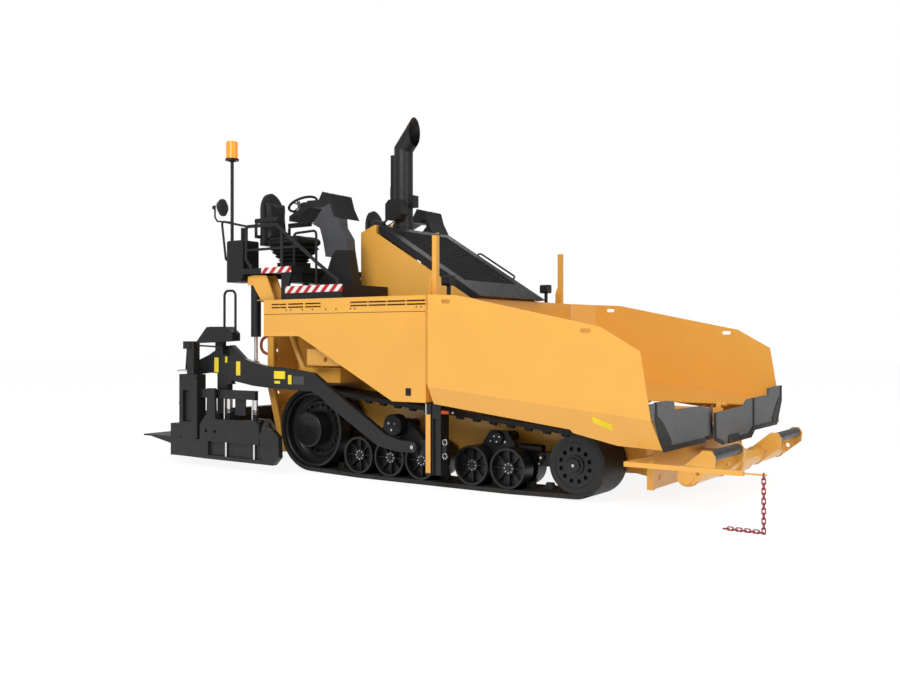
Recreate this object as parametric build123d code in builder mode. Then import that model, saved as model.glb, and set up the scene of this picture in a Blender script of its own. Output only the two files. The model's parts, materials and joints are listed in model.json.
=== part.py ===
from build123d import *

import os
from math import atan2, cos, degrees, hypot, radians, sin, sqrt

os.makedirs("parts", exist_ok=True)

# Asphalt paver on rubber tracks. Millimetres. +X is forward, towards the hopper,
# +Y is the machine's left, +Z is up. The origin is on the ground in the middle
# of the overall length and width.

# Overall
HALF_WIDTH = 1750.0
SHEET = 8.0
SEAT_GAP = 0.3
MOVE_GAP = 6.0

# Tracks
TRACK_OUTER = 1200.0
BELT_WIDTH = 457.0
BELT_THICK = 44.0
LUG_PITCH = 200.0
LUG_LENGTH = 95.0
LUG_HEIGHT = 62.0
LUG_WIDTH = 66.0
WHEEL_INSET = 15.0
WHEEL_SLOT = 97.0
DRIVE_X, DRIVE_Z, DRIVE_R = -1337.5, 480.0, 418.0
IDLER_X, IDLER_Z, IDLER_R = 1917.5, 327.0, 265.0
BOGIE_R = 195.0
BOGIE_REAR_GROUP = (-668.5, -250.5, 154.5)
BOGIE_FRONT_GROUP = (775.5, 1192.5)
AXLE_R = 45.0
AXLE_PLAY = 0.05

# Chassis
FRAME_HALF = 700.0
FRAME_PLATE = 20.0
FRAME_BOTTOM = 230.0
FLOOR_Z = 640.0
REAR_WALL_X = -2047.0
REAR_WALL_HALF = 1150.0
REAR_WALL_THICK = 25.0
FRONT_PLATE_X = 2640.0
FRONT_PLATE_THICK = 25.0
FRONT_PLATE_TOP = 560.0
POST_BOTTOM = 165.0
ENGINE_FLOOR_Z = 1050.0

# Body
BODY_HALF = 1500.0
PANEL_REAR = -1768.0
PANEL_FRONT = 460.0
DECK_Z = 1905.0
PANEL_LOW_Z = 1507.0
PANEL_FOOT_Z = 856.0

# Hopper
WING_REAR = PANEL_FRONT + MOVE_GAP
WING_CREASE_X = 674.0
WING_FRONT = 2907.0
HINGE_Y = 740.0
HINGE_Z = 805.0
HINGE_STATIONS = (760.0, 1700.0, 2560.0)
HINGE_PIN_R = 14.0
HINGE_EYE_R = 20.0
HINGE_LUG = 50.0
BEND_REAR_Z = 1050.0
BEND_FRONT_Z = 815.0
SKIRT_INSET = 165.0
BULKHEAD_THICK = 10.0
FLAP_FACE_X = 2925.0
FLAP_THICK = 10.0
LIP_X = FLAP_FACE_X + MOVE_GAP + 1.0

# Push bar and steering guide
PUSH_X, PUSH_Z = 3016.0, 326.0
PUSH_TUBE_R = 82.0
PUSH_HALF = 1320.0
ROLLER_X, ROLLER_Z, ROLLER_R = 3204.5, 503.0, 48.0
ROLLER_INNER, ROLLER_OUTER = 565.0, 1290.0
LUG_PLATE = 22.0
PIVOT_X = 2850.0
PIVOT_R = 25.0
GUIDE_Y, GUIDE_Z = -1700.0, 450.0
GUIDE_REAR = 2645.0
GUIDE_TUBE_END = 3630.0
GUIDE_END = 3805.0
GUIDE_ROD_R = 8.0

# Hood
HOOD_HALF = 680.0
HOOD_REAR = -1130.0
HOOD_CREST_X, HOOD_CREST_Z = -800.0, 2753.0
LID_FRONT_X, LID_FRONT_Z = 555.0, 1926.0
LID_DEPTH = 85.0
GRILLE_HALF = 530.0
GRILLE_REAR, GRILLE_FRONT = -730.0, 262.0
STACK_X, STACK_Y, STACK_R = -1002.0, 30.0, 112.0
STACK_BEND_Z = 3727.0
STACK_MOUTH_X, STACK_MOUTH_Z = -840.0, 3920.0

# Operator's platform
PLATFORM_INSET = 50.0
PLATFORM_HALF = BODY_HALF - PLATFORM_INSET
STEP_REAR, STEP_FRONT = -1483.0, -660.0
STEP_TOP = 2051.0
UPPER_REAR, UPPER_FRONT = -2430.0, -1398.0
UPPER_BOTTOM, UPPER_TOP = 2205.0, 2270.0
SEAT_Y = 945.0
SEAT_X = -1850.0
SEAT_BASE_TOP = 2357.0
CUSHION_BOTTOM = 2540.0
CUSHION_LENGTH, CUSHION_WIDTH = 560.0, 480.0
CONSOLE_OUT, CONSOLE_IN = 1050.0, 700.0
PEDESTAL = 140.0
RAIL_R = 19.0
CABINET_REAR, CABINET_FRONT, CABINET_WIDTH = -2420.0, -2150.0, 240.0
CABINET_BOTTOM, CABINET_TOP = 2124.0, 2600.0
MAST_X, MAST_INSET, MAST_TOP = -2398.0, 60.0, 3547.0
MAST_Y = -(PLATFORM_HALF - MAST_INSET)

# Tow arms, lift cylinders and screed
TOW_X, TOW_Z = 258.5, 407.0
TOW_PIN_R = 30.0
ARM_OUTER = 1450.0
ARM_THICK = 60.0
LIFT_X = -2077.0
LIFT_NOTCH_X = -1978.0
LIFT_TOP_Z = 2130.0
LIFT_EYE_Z = 1180.0
LIFT_BARREL_R = 57.0
LIFT_ARM_GAP = 11.0
LIFT_Y = ARM_OUTER - ARM_THICK - LIFT_BARREL_R - LIFT_ARM_GAP
LIFT_ROD_R = 21.0
LIFT_EYE_PLAY = 16.0
SCREED_FRONT, SCREED_REAR = -2545.0, -2960.0
SCREED_HALF = 1500.0
SOLE_Z = 105.0
SOLE_TOP = 180.0
EXT_FRONT, EXT_REAR = -2975.0, -3255.0
SLIDE_X, SLIDE_Z, SLIDE_R = -3030.0, 565.0, 38.0
GATE_OUTER = 1605.0
GATE_THICK = 30.0
WALK_HINGE_X, WALK_HINGE_Z = -3282.0, 345.0
WALK_DEPTH = 523.0
GATE_BACK = 1475.0
AUGER_X, AUGER_Z, AUGER_R = -2307.0, 350.0, 200.0
AUGER_SHAFT_R = 45.0
AUGER_END = 1400.0
AUGER_PITCH = 360.0


def block(x_span, y_span, z_span, mode=Mode.ADD):
    """Add a box between pairs of coordinates."""
    spans = (x_span, y_span, z_span)
    centre = [(low + high) / 2 for low, high in spans]
    size = [abs(high - low) for low, high in spans]
    with Locations(tuple(centre)):
        Box(*size, mode=mode)


def side_slab(outline, y_from, y_to, mode=Mode.ADD):
    """Extrude an outline of (x, z) points from one y to another."""
    with BuildSketch(Plane.XZ.offset(-y_from)) as profile:
        Polygon(*outline, align=None)
    extrude(profile.sketch, amount=y_from - y_to, mode=mode)


def cross_slab(outline, x_from, x_to, mode=Mode.ADD):
    """Extrude an outline of (y, z) points from one x to another."""
    with BuildSketch(Plane.YZ.offset(x_from)) as profile:
        Polygon(*outline, align=None)
    extrude(profile.sketch, amount=x_to - x_from, mode=mode)


def turned(profile, x, z, mode=Mode.ADD):
    """Revolve (radius, y) points about the cross axis through x, z."""
    with BuildSketch(Plane(origin=(x, 0, z))) as section:
        Polygon(*profile, align=None)
    revolve(section.sketch, axis=Axis((x, 0, z), (0, 1, 0)), mode=mode)


def rod(start, end, radius, mode=Mode.ADD):
    """Add a round bar from one point to another."""
    along = Vector(*end) - Vector(*start)
    with BuildSketch(Plane(origin=start, z_dir=along)) as section:
        Circle(radius)
    extrude(section.sketch, amount=along.length, mode=mode)


def bent_bar(points, bend, radius):
    """Add a round bar along straight runs joined by arcs."""
    with BuildLine() as path:
        FilletPolyline(*points, radius=bend)
    with BuildSketch(Plane(origin=path.line @ 0, z_dir=path.line % 0)) as section:
        Circle(radius)
    sweep(section.sketch, path=path.line)


def bolt_ring(count, ring_r, radius, x, z, y_from, y_to, mode=Mode.ADD):
    """Place round bosses or holes on a ring about the cross axis through x, z."""
    for turn in range(count):
        angle = radians(360 / count * (turn + 0.5))
        px, pz = x + ring_r * cos(angle), z + ring_r * sin(angle)
        rod((px, y_from, pz), (px, y_to, pz), radius, mode)


def spokes(count, inner_r, outer_r, thick, x, z, y_from, y_to):
    """Set flat ribs like spokes round the cross axis through x, z."""
    with BuildSketch(Plane(origin=(x, y_from, z), x_dir=(1, 0, 0), z_dir=(0, -1, 0))) as ribs:
        with PolarLocations((inner_r + outer_r) / 2, count):
            Rectangle(outer_r - inner_r, thick)
    extrude(ribs.sketch, amount=y_from - y_to)


def save(name, builder):
    """Label a finished piece and write it."""
    builder.part.label = name
    export_step(builder.part, f"parts/{name}.step")


# Tracks ---------------------------------------------------------------------

BOGIE_Z = BELT_THICK + SEAT_GAP + BOGIE_R
TRACK_INNER = TRACK_OUTER - BELT_WIDTH
TRACK_MID = TRACK_OUTER - BELT_WIDTH / 2
# Wheels that shape the loop, in order round it: x, z, rim radius
LOOP_WHEELS = (
    (BOGIE_REAR_GROUP[0], BOGIE_Z, BOGIE_R),
    (BOGIE_FRONT_GROUP[-1], BOGIE_Z, BOGIE_R),
    (IDLER_X, IDLER_Z, IDLER_R),
    (DRIVE_X, DRIVE_Z, DRIVE_R),
)


def belt_loop(extra):
    """Draw the taut loop round the wheels, each grown by extra."""
    count = len(LOOP_WHEELS)
    leaving = []
    arriving = [None] * count
    for index, (x, z, r) in enumerate(LOOP_WHEELS):
        x2, z2, r2 = LOOP_WHEELS[(index + 1) % count]
        span = hypot(x2 - x, z2 - z)
        ux, uz = (x2 - x) / span, (z2 - z) / span
        lean = (r - r2) / span
        flat = sqrt(1 - lean * lean)
        normal = (ux * lean + uz * flat, uz * lean - ux * flat)
        leaving.append(normal)
        arriving[(index + 1) % count] = normal
    for index, (x, z, r) in enumerate(LOOP_WHEELS):
        reach = r + extra
        first = degrees(atan2(arriving[index][1], arriving[index][0]))
        last = degrees(atan2(leaving[index][1], leaving[index][0]))
        sweep_angle = (last - first) % 360
        middle = radians(first + sweep_angle / 2)
        ends = [(x + reach * n[0], z + reach * n[1]) for n in (arriving[index], leaving[index])]
        ThreePointArc(ends[0], (x + reach * cos(middle), z + reach * sin(middle)), ends[1])
        x2, z2, r2 = LOOP_WHEELS[(index + 1) % count]
        far = r2 + extra
        Line(ends[1], (x2 + far * leaving[index][0], z2 + far * leaving[index][1]))


with BuildPart() as track_belts:
    with BuildSketch(Plane.XZ.offset(TRACK_INNER)) as belt_section:
        with BuildLine():
            belt_loop(SEAT_GAP + BELT_THICK)
        make_face()
        with BuildLine():
            belt_loop(SEAT_GAP)
        make_face(mode=Mode.SUBTRACT)
    extrude(amount=BELT_WIDTH)
    with BuildLine(Plane.XZ.offset(TRACK_MID)) as lug_path:
        belt_loop(SEAT_GAP)
    lug_wire = lug_path.wires()[0]
    lug_count = round(lug_wire.length / LUG_PITCH)
    for step in range(lug_count):
        place = lug_wire @ (step / lug_count)
        along = lug_wire % (step / lug_count)
        inward = along.cross(Vector(0, 1, 0))
        if inward.dot(Vector((DRIVE_X + IDLER_X) / 2, -TRACK_MID, DRIVE_Z) - place) < 0:
            inward = -inward
        with BuildSketch(Plane(origin=place - inward * 2, x_dir=along, z_dir=inward)) as lug_foot:
            Rectangle(LUG_LENGTH, LUG_WIDTH)
        extrude(lug_foot.sketch, amount=LUG_HEIGHT, taper=12)
    mirror(about=Plane.XZ)
save("track_belts", track_belts)

WHEEL_OUT = -(TRACK_OUTER - WHEEL_INSET)
WHEEL_IN = -(TRACK_INNER + WHEEL_INSET)
SLOT_OUT = -(TRACK_MID + WHEEL_SLOT / 2)
SLOT_IN = -(TRACK_MID - WHEEL_SLOT / 2)
FRAME_FACE = -(FRAME_HALF + SEAT_GAP)

with BuildPart() as drive_wheels:
    turned(
        [(0, -1255), (178, -1255), (190, -1243), (190, -1060), (300, -1060), (330, -1085),
         (372, -1100), (380, WHEEL_OUT + 12), (398, WHEEL_OUT), (DRIVE_R, WHEEL_OUT + 8),
         (DRIVE_R, SLOT_OUT),
         (DRIVE_R - 80, SLOT_OUT), (DRIVE_R - 80, SLOT_IN), (DRIVE_R, SLOT_IN),
         (DRIVE_R, WHEEL_IN), (380, WHEEL_IN), (380, -900), (220, -900), (220, FRAME_FACE),
         (0, FRAME_FACE)],
        DRIVE_X, DRIVE_Z,
    )
    bolt_ring(20, 262, 15, DRIVE_X, DRIVE_Z, -1059, -1092)
    mirror(about=Plane.XZ)
save("drive_wheels", drive_wheels)

with BuildPart() as idler_wheels:
    turned(
        [(0, -1222), (62, -1222), (66, -1214), (66, -1200), (88, -1196), (88, -1178),
         (205, -1178), (212, WHEEL_OUT), (IDLER_R, WHEEL_OUT), (IDLER_R, SLOT_OUT),
         (AXLE_R, SLOT_OUT), (AXLE_R, SLOT_IN), (IDLER_R, SLOT_IN), (IDLER_R, WHEEL_IN),
         (220, WHEEL_IN), (220, -800), (0, -800)],
        IDLER_X, IDLER_Z,
    )
    bolt_ring(12, 150, 21, IDLER_X, IDLER_Z, -1181, -1140, Mode.SUBTRACT)
    mirror(about=Plane.XZ)
save("idler_wheels", idler_wheels)

WEB_OUT = -1105.0
HUB_OUT = -1160.0
SPOKES, SPOKE_THICK, SPOKE_DEPTH = 8, 7.0, 45.0

with BuildPart() as bogie_wheels:
    for bogie_x in BOGIE_REAR_GROUP + BOGIE_FRONT_GROUP:
        turned(
            [(0, HUB_OUT - 8), (22, HUB_OUT - 8), (24, HUB_OUT), (60, HUB_OUT), (64, WEB_OUT),
             (BOGIE_R - 27, WEB_OUT), (BOGIE_R - 22, WHEEL_OUT), (BOGIE_R, WHEEL_OUT),
             (BOGIE_R, SLOT_OUT), (AXLE_R, SLOT_OUT), (AXLE_R, SLOT_IN), (BOGIE_R, SLOT_IN),
             (BOGIE_R, WHEEL_IN), (BOGIE_R - 27, WHEEL_IN), (BOGIE_R - 35, -810), (0, -810)],
            bogie_x, BOGIE_Z,
        )
        spokes(SPOKES, 58, BOGIE_R - 23, SPOKE_THICK, bogie_x, BOGIE_Z, WEB_OUT + 1,
               WEB_OUT - SPOKE_DEPTH)
    mirror(about=Plane.XZ)
save("bogie_wheels", bogie_wheels)

BEAM_OUT, BEAM_IN = -(TRACK_MID + 34), -(TRACK_MID - 34)
# Wheels of a group, height of its pivot, radius and outer face of the pivot's cap
BOGIE_GROUPS = (
    (BOGIE_REAR_GROUP, 570.0, 118.0, -1130.0),
    (BOGIE_FRONT_GROUP, 505.0, 66.0, -1040.0),
)

with BuildPart() as bogie_beams:
    for group, pivot_z, cap_r, cap_out in BOGIE_GROUPS:
        pivot_x = (group[0] + group[-1]) / 2
        side_slab(
            [(group[0] - 80, BOGIE_Z - 70), (group[-1] + 80, BOGIE_Z - 70),
             (group[-1] + 80, BOGIE_Z + 60), (pivot_x + 100, pivot_z + 70),
             (pivot_x - 100, pivot_z + 70), (group[0] - 80, BOGIE_Z + 60)],
            BEAM_OUT, BEAM_IN,
        )
        rod((pivot_x, BEAM_OUT, pivot_z), (pivot_x, -FRAME_HALF, pivot_z), 50)
        turned(
            [(0, cap_out), (cap_r - 10, cap_out), (cap_r, cap_out + 10), (cap_r, BEAM_OUT + 1),
             (0, BEAM_OUT + 1)],
            pivot_x, pivot_z,
        )
        for bogie_x in group:
            rod((bogie_x, BEAM_OUT - 1, BOGIE_Z), (bogie_x, BEAM_IN + 1, BOGIE_Z),
                AXLE_R + AXLE_PLAY, Mode.SUBTRACT)
    rod((1215, -TRACK_MID, 428), (1470, -TRACK_MID, 428), 40)
    rod((1481, BEAM_OUT - 34, 350), (1481, BEAM_OUT + 1, 350), 27)
    rod((1460, BEAM_OUT - 22, 292), (1460, BEAM_OUT + 1, 292), 16)
    side_slab(
        [(1440, 270), (IDLER_X - 40, IDLER_Z - 75), (IDLER_X + 70, IDLER_Z - 60),
         (IDLER_X + 70, IDLER_Z + 60), (IDLER_X - 40, IDLER_Z + 75), (1440, 390)],
        BEAM_OUT, BEAM_IN,
    )
    rod((IDLER_X, BEAM_OUT - 1, IDLER_Z), (IDLER_X, BEAM_IN + 1, IDLER_Z),
        AXLE_R + AXLE_PLAY, Mode.SUBTRACT)
    block((1440, 1540), (BEAM_OUT, -FRAME_HALF), (270, 390))
    mirror(about=Plane.XZ)
save("bogie_beams", bogie_beams)

# Chassis --------------------------------------------------------------------

TUNNEL_HALF = 590.0
TUNNEL_TOP = 1020.0
TUNNEL_MID = 45.0
BELLY_THICK = 12.0
FLOOR_TOP = FLOOR_Z + 10.0
TROUGH_TOP = HINGE_Z - 35.0
MOUTH_X = -1900.0
# Keyholes of the rear wall: height of the round part, span of the slot
KEYHOLES = ((1345.0, (1160.0, 1470.0)), (860.0, (685.0, 860.0)))
KEYHOLE_Y, KEYHOLE_R = 1030.0, 24.0
TANK_OUT = 1300.0
TIE_HOLE_Y, TIE_HOLE_R = 1020.0, 26.0
BRACE_Y, BRACE_R = 1090.0, 35.0
FLANGE_DEPTH = 92.0

with BuildPart() as main_frame:
    for side in (-1, 1):
        side_slab(
            [(REAR_WALL_X + 20, DECK_Z - SHEET), (REAR_WALL_X + 20, 935), (-1820, FRAME_BOTTOM),
             (2300, FRAME_BOTTOM), (FRONT_PLATE_X, 170), (FRONT_PLATE_X, TROUGH_TOP),
             (PANEL_FRONT, TROUGH_TOP), (PANEL_FRONT, FLOOR_TOP),
             (PANEL_FRONT - BULKHEAD_THICK, FLOOR_TOP),
             (PANEL_FRONT - BULKHEAD_THICK, DECK_Z - SHEET)],
            side * FRAME_HALF, side * (FRAME_HALF - FRAME_PLATE),
        )
    with BuildSketch(Plane.XZ.offset(REAR_WALL_HALF)) as rear_wall:
        Polygon(
            (REAR_WALL_X, DECK_Z - SHEET), (REAR_WALL_X, 930), (-1836, 195),
            (-1836 + REAR_WALL_THICK, 200), (REAR_WALL_X + REAR_WALL_THICK, 935),
            (REAR_WALL_X + REAR_WALL_THICK, DECK_Z - SHEET), align=None,
        )
    extrude(rear_wall.sketch, amount=-2 * REAR_WALL_HALF)
    for side in (-1, 1):
        side_slab(
            [(REAR_WALL_X, 1500), (REAR_WALL_X, 930), (-1836, 195), (-1766, 200),
             (REAR_WALL_X + FLANGE_DEPTH, 940), (REAR_WALL_X + FLANGE_DEPTH, 1500)],
            side * (REAR_WALL_HALF + FRAME_PLATE), side * REAR_WALL_HALF,
        )
        block((REAR_WALL_X - 1, MOUTH_X), (side * TUNNEL_MID, side * TUNNEL_HALF),
              (FLOOR_TOP, 1000), Mode.SUBTRACT)
    for side in (-1, 1):
        for key_z, slot_span in KEYHOLES:
            rod((REAR_WALL_X - 1, side * KEYHOLE_Y, key_z), (-1850, side * KEYHOLE_Y, key_z),
                KEYHOLE_R, Mode.SUBTRACT)
            block((REAR_WALL_X - 1, -1850), (side * (KEYHOLE_Y - 8), side * (KEYHOLE_Y + 8)),
                  slot_span, Mode.SUBTRACT)
        block((-1305, -640), (side * TANK_OUT, side * (FRAME_HALF - 1)), (1189, 1367))
        rod((-1034, side * (TANK_OUT + 1), 1254), (-1034, side * (TANK_OUT - 60), 1254),
            TIE_HOLE_R, Mode.SUBTRACT)
        block((-1565, -962), (side * (BRACE_Y + 50), side * (FRAME_HALF - 1)), (998, 1160))
        rod((-1938, side * BRACE_Y, DECK_Z + 20), (-1545, side * BRACE_Y, 1120), BRACE_R)
        block((-2015, -1800), (side * (BRACE_Y + 60), side * (BRACE_Y - 60)),
              (DECK_Z - SHEET - SEAT_GAP, DECK_Z + 90), Mode.SUBTRACT)
    block((-1815, 2290), (-FRAME_HALF, FRAME_HALF), (FRAME_BOTTOM, FRAME_BOTTOM + BELLY_THICK))
    block((-2022, PANEL_FRONT - BULKHEAD_THICK), (-FRAME_HALF, FRAME_HALF),
          (ENGINE_FLOOR_Z - 10, ENGINE_FLOOR_Z))
    block((FRONT_PLATE_X, FRONT_PLATE_X + FRONT_PLATE_THICK), (-REAR_WALL_HALF, REAR_WALL_HALF),
          (170, FRONT_PLATE_TOP))
    for side in (-1, 1):
        rod((FRONT_PLATE_X - 1, side * TIE_HOLE_Y, 262),
            (FRONT_PLATE_X + FRONT_PLATE_THICK + 1, side * TIE_HOLE_Y, 262), TIE_HOLE_R,
            Mode.SUBTRACT)
        block((FRONT_PLATE_X - 26, FRONT_PLATE_X + 34),
              (side * REAR_WALL_HALF, side * (REAR_WALL_HALF + 30)),
              (POST_BOTTOM, FRONT_PLATE_TOP))
        for station in HINGE_STATIONS:
            cross_slab(
                [(side * (FRAME_HALF - 1), FLOOR_Z - 60), (side * (FRAME_HALF - 1), HINGE_Z - 20),
                 (side * (HINGE_Y - 14), HINGE_Z + 14), (side * (HINGE_Y + 14), HINGE_Z - 14),
                 (side * (HINGE_Y - 5), TROUGH_TOP), (side * (FRAME_HALF + 14), FLOOR_Z - 60)],
                station, station + HINGE_LUG,
            )
            rod((station, side * HINGE_Y, HINGE_Z), (station + HINGE_LUG, side * HINGE_Y, HINGE_Z),
                HINGE_EYE_R)
            rod((station + 25, side * HINGE_Y, HINGE_Z),
                (station + 2 * HINGE_LUG + 10, side * HINGE_Y, HINGE_Z), HINGE_PIN_R)
    for plate_z in (262, 395):
        block((FRONT_PLATE_X + 5, PIVOT_X + 35), (-100, 100), (plate_z, plate_z + 23))
    rod((PIVOT_X, 0, 265), (PIVOT_X, 0, 430), PIVOT_R)
    for side in (-1, 1):
        block((AUGER_X + 91, -1930), (side * 45, side * 60), (560, FLOOR_Z + 5))
    block((REAR_WALL_X + REAR_WALL_THICK, 2780), (-FRAME_HALF, FRAME_HALF), (FLOOR_Z, FLOOR_TOP))
    block((PANEL_FRONT + 1, 2740), (-30, 30), (FLOOR_Z + 5, FLOOR_Z + 60))
save("main_frame", main_frame)

# Hydraulic hose that loops out of the rear wall and back into it
HOSE_R, HOSE_LOOP = 17.0, 168.0
HOSE_Y = -1110.0
with BuildPart() as rear_hose:
    hose_start = REAR_WALL_X - SEAT_GAP
    bent_bar(
        [(hose_start, HOSE_Y, 1510), (hose_start - HOSE_LOOP, HOSE_Y, 1510),
         (hose_start - HOSE_LOOP, HOSE_Y, 1300), (hose_start, HOSE_Y, 1300)],
        95, HOSE_R,
    )
save("rear_hose", rear_hose)

# Tow point towers: guide strip, channel, levelling rod and the pin of the arm
TOW_STRIP_X, TOW_CHANNEL_X, TOW_FRONT_X = 420.0, 486.0, 596.0
TOWER_TOP, TOWER_FOOT = 846.0, 150.0
PIN_IN = -(ARM_OUTER - ARM_THICK - 6)

with BuildPart() as tow_towers:
    block((TOW_STRIP_X, TOW_CHANNEL_X), (-1452, -1400), (TOWER_FOOT, TOWER_TOP))
    block((TOW_CHANNEL_X, TOW_FRONT_X), (-1440, -1300), (TOWER_FOOT, TOWER_TOP))
    block((TOW_CHANNEL_X + 20, TOW_FRONT_X - 20), (-1441, -1420), (TOWER_FOOT - 1, 700), Mode.SUBTRACT)
    block((TOW_STRIP_X - 20, TOW_CHANNEL_X - 40), (-1400, -FRAME_HALF), (792, TOWER_TOP))
    block((300, TOW_STRIP_X + 5), (PIN_IN, PIN_IN + 70), (TOW_Z - 75, TOW_Z + 75))
    block((TOW_STRIP_X, TOW_CHANNEL_X), (PIN_IN, PIN_IN + 70), (TOW_Z - 75, TOW_Z + 75))
    block((TOW_X - 45, 305), (PIN_IN, PIN_IN + 70), (TOW_Z - 45, TOW_Z + 45))
    rod((TOW_X, PIN_IN + 10, TOW_Z), (TOW_X, -ARM_OUTER - 12, TOW_Z), TOW_PIN_R)
    for ring_z in (479, 345):
        rod((645, -1436, ring_z), (645, -1410, ring_z), 32)
    block((TOW_FRONT_X - 2, 650), (-1420, -1400), (320, 505))
    block((TOW_FRONT_X - 2, 698), (-1440, -1420), (750, 785))
    mirror(about=Plane.XZ)
save("tow_towers", tow_towers)

with BuildPart() as engine_block:
    block((-900, 150), (-380, 380), (ENGINE_FLOOR_Z, 1820))
save("engine_block", engine_block)

SLAT_PITCH = 320.0
STRAND = 34.0
with BuildPart() as conveyor_slats:
    for side in (-1, 1):
        for strand_y in (70, 550):
            block((REAR_WALL_X + 40, 2720),
                  (side * (strand_y - STRAND / 2), side * (strand_y + STRAND / 2)),
                  (FLOOR_Z + 10, FLOOR_Z + 34))
        slat_count = int((2720 - REAR_WALL_X - 120) / SLAT_PITCH) + 1
        for step in range(slat_count):
            slat_x = REAR_WALL_X + 80 + step * SLAT_PITCH
            block((slat_x, slat_x + 40), (side * 80, side * 540), (FLOOR_Z + 10, FLOOR_Z + 40))
save("conveyor_slats", conveyor_slats)

with BuildPart() as hopper_bulkhead:
    block((PANEL_FRONT - BULKHEAD_THICK, PANEL_FRONT), (-(BODY_HALF - SHEET), BODY_HALF - SHEET),
          (FLOOR_Z + 10, DECK_Z))
    for side in (-1, 1):
        block((PANEL_FRONT - BULKHEAD_THICK - 1, PANEL_FRONT + 1),
              (side * TUNNEL_MID, side * TUNNEL_HALF), (FLOOR_Z + 9, 1000), Mode.SUBTRACT)
        block((PANEL_FRONT - BULKHEAD_THICK - 1, PANEL_FRONT + 1),
              (side * (FRAME_HALF + 20), side * BODY_HALF), (FLOOR_Z, 860), Mode.SUBTRACT)
save("hopper_bulkhead", hopper_bulkhead)

# Body panels: slots in two rows, in a rear and a front group
SLOT_ROWS = (1819.0, 1853.0)
GROOVE_Z, GROOVE_WIDTH, GROOVE_DEPTH = 1747.0, 6.0, 3.0
# First x, slot length, count, pitch
SLOT_GROUPS = ((-1648.0, 225.0, 3, 252.0), (-510.0, 232.0, 4, 244.0))

with BuildPart() as side_panels:
    side_slab(
        [(PANEL_REAR, DECK_Z), (PANEL_REAR, PANEL_LOW_Z), (-1234, PANEL_LOW_Z),
         (43, PANEL_FOOT_Z), (PANEL_FRONT, PANEL_FOOT_Z), (PANEL_FRONT, DECK_Z)],
        -BODY_HALF, -(BODY_HALF - SHEET),
    )
    for first_x, length, count, pitch in SLOT_GROUPS:
        for step in range(count):
            for row_z in SLOT_ROWS:
                slot_x = first_x + step * pitch
                block((slot_x, slot_x + length), (-BODY_HALF - 1, -(BODY_HALF - SHEET) + 1),
                      (row_z - 8, row_z + 8), Mode.SUBTRACT)
    block((PANEL_REAR - 1, PANEL_FRONT + 1), (-BODY_HALF - 1, -BODY_HALF + GROOVE_DEPTH),
          (GROOVE_Z - GROOVE_WIDTH / 2, GROOVE_Z + GROOVE_WIDTH / 2), Mode.SUBTRACT)
    mirror(about=Plane.XZ)
save("side_panels", side_panels)

with BuildPart() as deck:
    block((PANEL_REAR, PANEL_FRONT - BULKHEAD_THICK), (-(BODY_HALF - SHEET), BODY_HALF - SHEET),
          (DECK_Z - SHEET, DECK_Z))
    block((REAR_WALL_X, PANEL_REAR), (-PLATFORM_HALF, PLATFORM_HALF), (DECK_Z - SHEET, DECK_Z))
    block((HOOD_REAR + 100, PANEL_FRONT + 1), (-HOOD_HALF + 60, HOOD_HALF - 60),
          (DECK_Z - SHEET - 1, DECK_Z + 1), Mode.SUBTRACT)
    for side in (-1, 1):
        block((REAR_WALL_X - 1, LIFT_NOTCH_X), (side * (LIFT_Y - 75), side * (PLATFORM_HALF + 1)),
              (DECK_Z - SHEET - 1, DECK_Z + 1), Mode.SUBTRACT)
save("deck", deck)

# Hood -----------------------------------------------------------------------

LID_SLOPE = (HOOD_CREST_Z - LID_FRONT_Z) / (LID_FRONT_X - HOOD_CREST_X)


def lid_z(x, below=0.0):
    """Height of the lid's top plane at x, or so far below it."""
    return HOOD_CREST_Z - LID_SLOPE * (x - HOOD_CREST_X) - below


COWL_DROP = LID_DEPTH + MOVE_GAP
LID_LOW_X = HOOD_CREST_X + (HOOD_CREST_Z - LID_DEPTH - DECK_Z - MOVE_GAP) / LID_SLOPE
COWL_FRONT_X = HOOD_CREST_X + (HOOD_CREST_Z - COWL_DROP - DECK_Z) / LID_SLOPE
COWL_WALL = 6.0
COWL_BREAK_X = HOOD_CREST_X - MOVE_GAP
COWL_TOP_X = COWL_BREAK_X - 60.0
COWL_REAR_Z = 2655.0
LID_EDGE = 6.0
# Lid hinges: eyes of the cowl and of the lid side by side on one pin
LID_HINGES = (-470.0, 430.0)
LID_EYE_R = 14.0
LID_EYE = 26.0
LID_PIN_R = 6.0

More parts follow.
